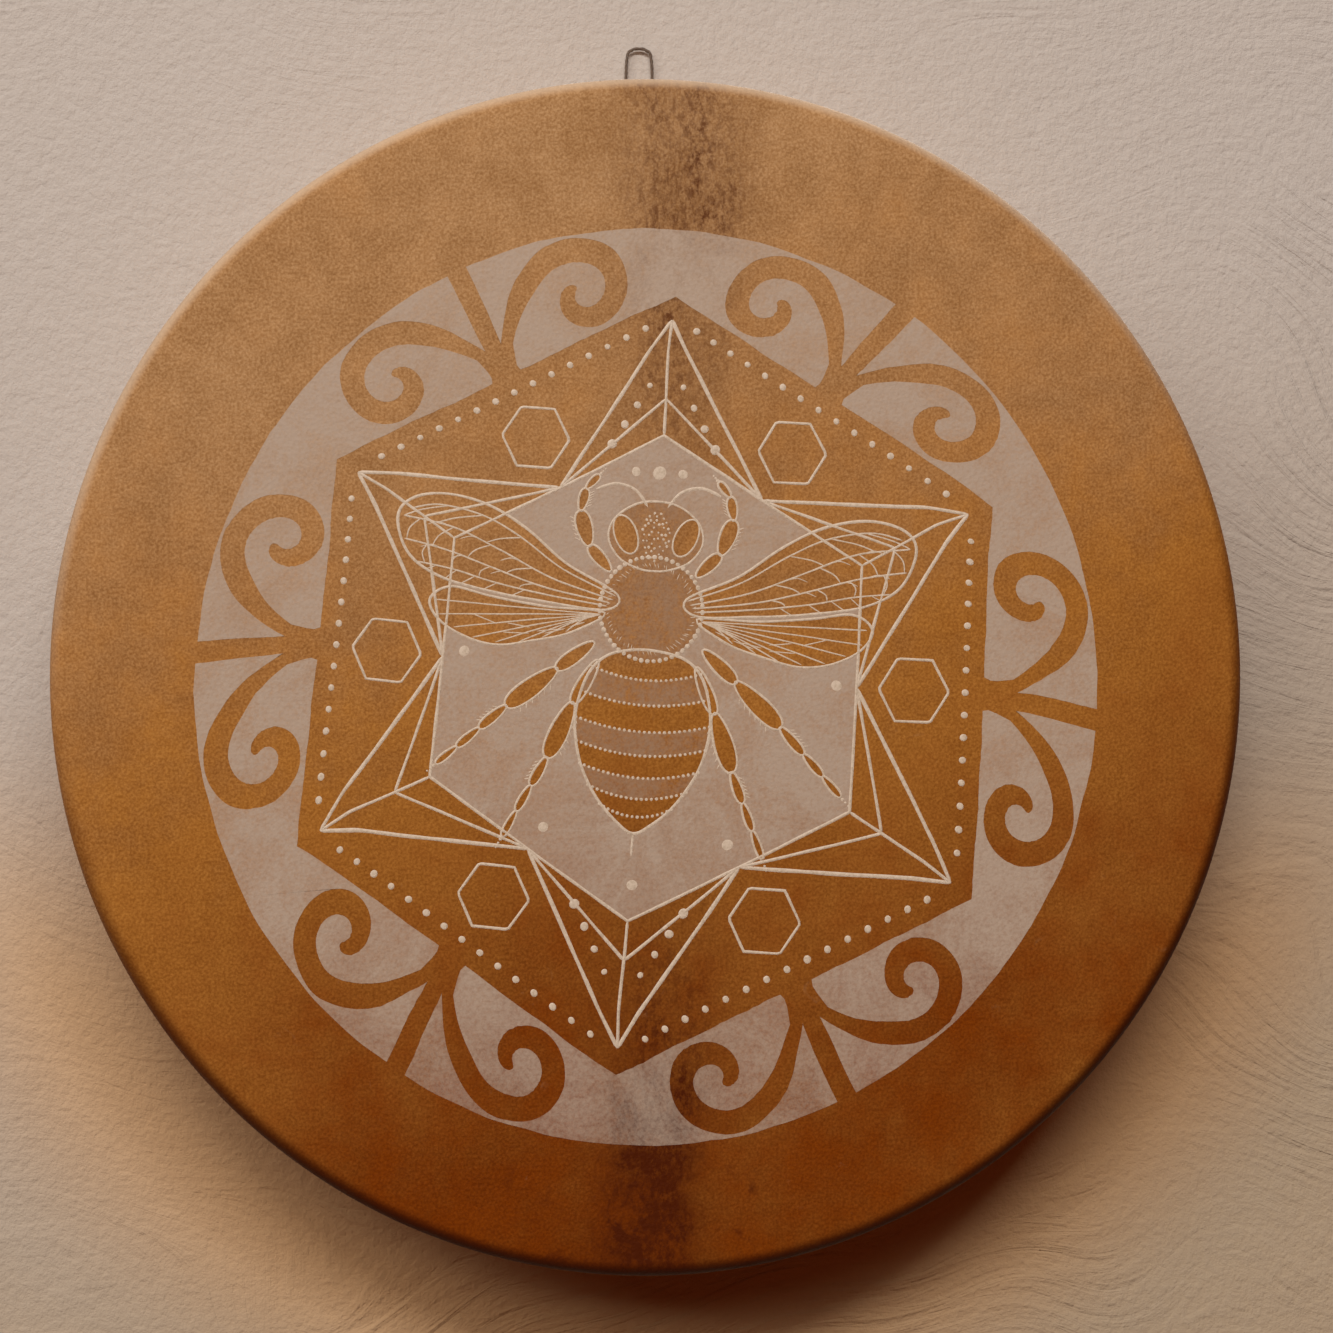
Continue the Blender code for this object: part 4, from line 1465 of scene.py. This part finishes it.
def paint_wings(bare, lines, mirror):
    def vein(points, width, steps=6):
        lines.line(mirror(curve_through(points, steps)), width)

    fore = mirror(curve_through(FOREWING, 8, True))
    hind = mirror(curve_through(HINDWING, 8, True))
    bare.wash(hind, BARE_PROUD)
    bare.wash(fore, BARE_PROUD + 0.005)
    lines.line(hind, 1.0, closed=True)
    lines.line(fore, 1.15, closed=True)
    ribs = [curve_through(rib, 10) for rib in FOREWING_RIBS]
    for rib in ribs:
        lines.line(mirror(rib), 0.75)
    outer = curve_through(FOREWING, 10, True)
    for upper, lower, marks in ((ribs[0], ribs[1], (20, 30, 38)), (ribs[1], ribs[2], (14, 22, 30, 36)),
                                (ribs[2], ribs[3], (12, 20, 27, 34))):
        for mark in marks:
            a, b = upper[min(mark, len(upper) - 1)], lower[min(mark + 3, len(lower) - 1)]
            vein((a, (a + b) / 2 + Vector((1.4, 0.3)), b), 0.6)
    for rib in ribs[1:3]:
        for mark in (16, 24, 31):
            root = rib[min(mark, len(rib) - 1)]
            tip = root + Vector((7.5, -0.2))
            vein((root, root.lerp(tip, 0.5) + Vector((0.0, 1.1)), tip), 0.45)
    for mark in (14, 19, 24, 29, 34):
        start = ribs[3][min(mark, len(ribs[3]) - 1)]
        end = min(outer, key=lambda p: (p - start - Vector((4.5, -4.0))).length)
        vein((start, (start + end) / 2 + Vector((0.8, -0.5)), end), 0.55)
    root = Vector((17.5, 22.8))
    ends = [Vector(end) for end in HINDWING_ENDS]
    for i, end in enumerate(ends):
        vein((root, root.lerp(end, 0.5) + Vector((0.0, 1.2 - 0.15 * i)), end), 0.6, 10)
    for share, a, b in zip((0.45, 0.60, 0.52, 0.68, 0.55, 0.70), ends, ends[1:]):
        lines.line(mirror([root.lerp(a, share), root.lerp(b, share + 0.08)]), 0.5)


def paint_legs(bare, lines, dots, mirror):
    for joints, widths in (HIND_LEG, MIDDLE_LEG, FRONT_LEG):
        points = [Vector(p) for p in joints]
        for start, end, width in zip(points, points[1:], widths):
            segment = mirror(leg_segment(start, end, width))
            bare.wash(segment, BARE_PROUD + 0.01)
            lines.line(segment, 0.95, closed=True, spacing=1.0)
        for part, step in ((1, -1), (2, 1)):
            start, end, width = points[part], points[part + 1], widths[part]
            along = (end - start).normalized()
            across = Vector((-along.y, along.x)) * step
            for i in range(6):
                root = start.lerp(end, 0.22 + 0.12 * i) + across * (0.46 * width)
                lines.line(mirror([root, root + across * 1.5 + along * 1.3]), 0.45, spacing=0.8, hand=0.05)
        foot = points[-1] - points[-2]
        for i in range(3):
            dots.dot(mirror([points[-1] + foot * (0.10 + 0.16 * i)])[0], BEAD - 0.12 * i, sides=8)


def stipple(dots, centre, reach, count, size, draw):
    """Small dots scattered in an oval, none touching the last ones."""
    placed = []
    while len(placed) < count:
        a, r = draw.uniform(0, 2 * pi), sqrt(draw.random())
        at = Vector((centre[0] + reach[0] * r * cos(a), centre[1] + reach[1] * r * sin(a)))
        if all((at - other).length > 2.3 * size for other in placed):
            placed.append(at)
            dots.dot(at, size * draw.uniform(0.8, 1.15), sides=8)


def paint_bee(white, hide, tint):
    draw = random.Random(5)
    bare, lines, dots, shades = Layer(BEE_SHIFT), Layer(BEE_SHIFT), Layer(BEE_SHIFT), Layer(BEE_SHIFT)
    for mirror in (list, flip):
        paint_wings(bare, lines, mirror)
        paint_legs(bare, lines, dots, mirror)
        antenna = curve_through(ANTENNA, 6)
        lines.line(mirror(antenna), 1.3)
        eye = [EYE_CENTRE + EYE_LEAN @ Vector((EYE_HALF_WIDTH * sin(a), EYE_HALF_HEIGHT * cos(a)))
               for a in np.linspace(0, 2 * pi, 25)[:-1]]
        bare.wash(mirror(eye), BARE_PROUD + 0.03)
        lines.line(mirror(eye), 0.9, closed=True, spacing=1.0)
    head = both_sides(HEAD_OUTLINE)
    shades.wash(head, TINT_PROUD)
    lines.line(head, 1.0, closed=True)
    stipple(dots, (0.0, 50.5), (5.0, 9.0), 46, 0.52, draw)

    abdomen = both_sides(ABDOMEN)
    bare.wash(abdomen, BARE_PROUD + 0.015)
    lines.line(abdomen, 1.3, closed=True)
    arcs = [band_arc(z, abdomen) for z in ABDOMEN_BANDS]
    for i in (0, 2, 4):
        shades.wash(arcs[i] + arcs[i + 1][::-1], TINT_PROUD)
    for arc in arcs:
        for at in evenly(arc, BEAD_SPACING):
            dots.dot(at, BEAD, sides=8)
    lines.line([Vector((0, -50.5)), Vector((0, -57.5))], 1.0)

    disc = [THORAX_CENTRE + clock(THORAX_RADIUS, a) for a in range(0, 360, 6)][::-1]
    shades.wash(disc, TINT_PROUD + 0.01)
    for i in range(RING_BEADS):
        dots.dot(THORAX_CENTRE + clock(THORAX_RADIUS + 0.4, 360 * i / RING_BEADS), 0.95)
    for i in range(HAIRS):
        angle = 360 * (i + draw.uniform(-0.3, 0.3)) / HAIRS
        reach = THORAX_RADIUS - 1.4
        root, tip = clock(reach, angle), clock(reach - draw.uniform(1.2, 2.8), angle + 3)
        lines.line([THORAX_CENTRE + root, THORAX_CENTRE + tip], 0.38, spacing=0.9, hand=0.05)
    bare.piece("bare_bee_shapes", hide, smooth=False)
    shades.piece("tinted_bee_shapes", tint, smooth=False)
    lines.piece("bee_lines", white)
    dots.piece("bee_beads", white)


def paint_head():
    wash = paint_material("chalky_wash", CHALK, 0.84, 0.13)
    tint = paint_material("tan_wash", TAN, 0.50, 0.22)
    white = linework_material()
    hide = hide_material()
    paint_islands(wash)
    paint_hub(wash)
    for paint in (paint_star, paint_small_hexagons, paint_dots, paint_discs):
        paint(white)
    paint_bee(white, hide, tint)


# The scene -----------------------------------------------------------------------------------------------


make_camera()
make_hanging_loop()
make_stage()
make_head()
make_hoop()
make_grip_ring()
make_ring_wraps()
make_laces()
paint_head()
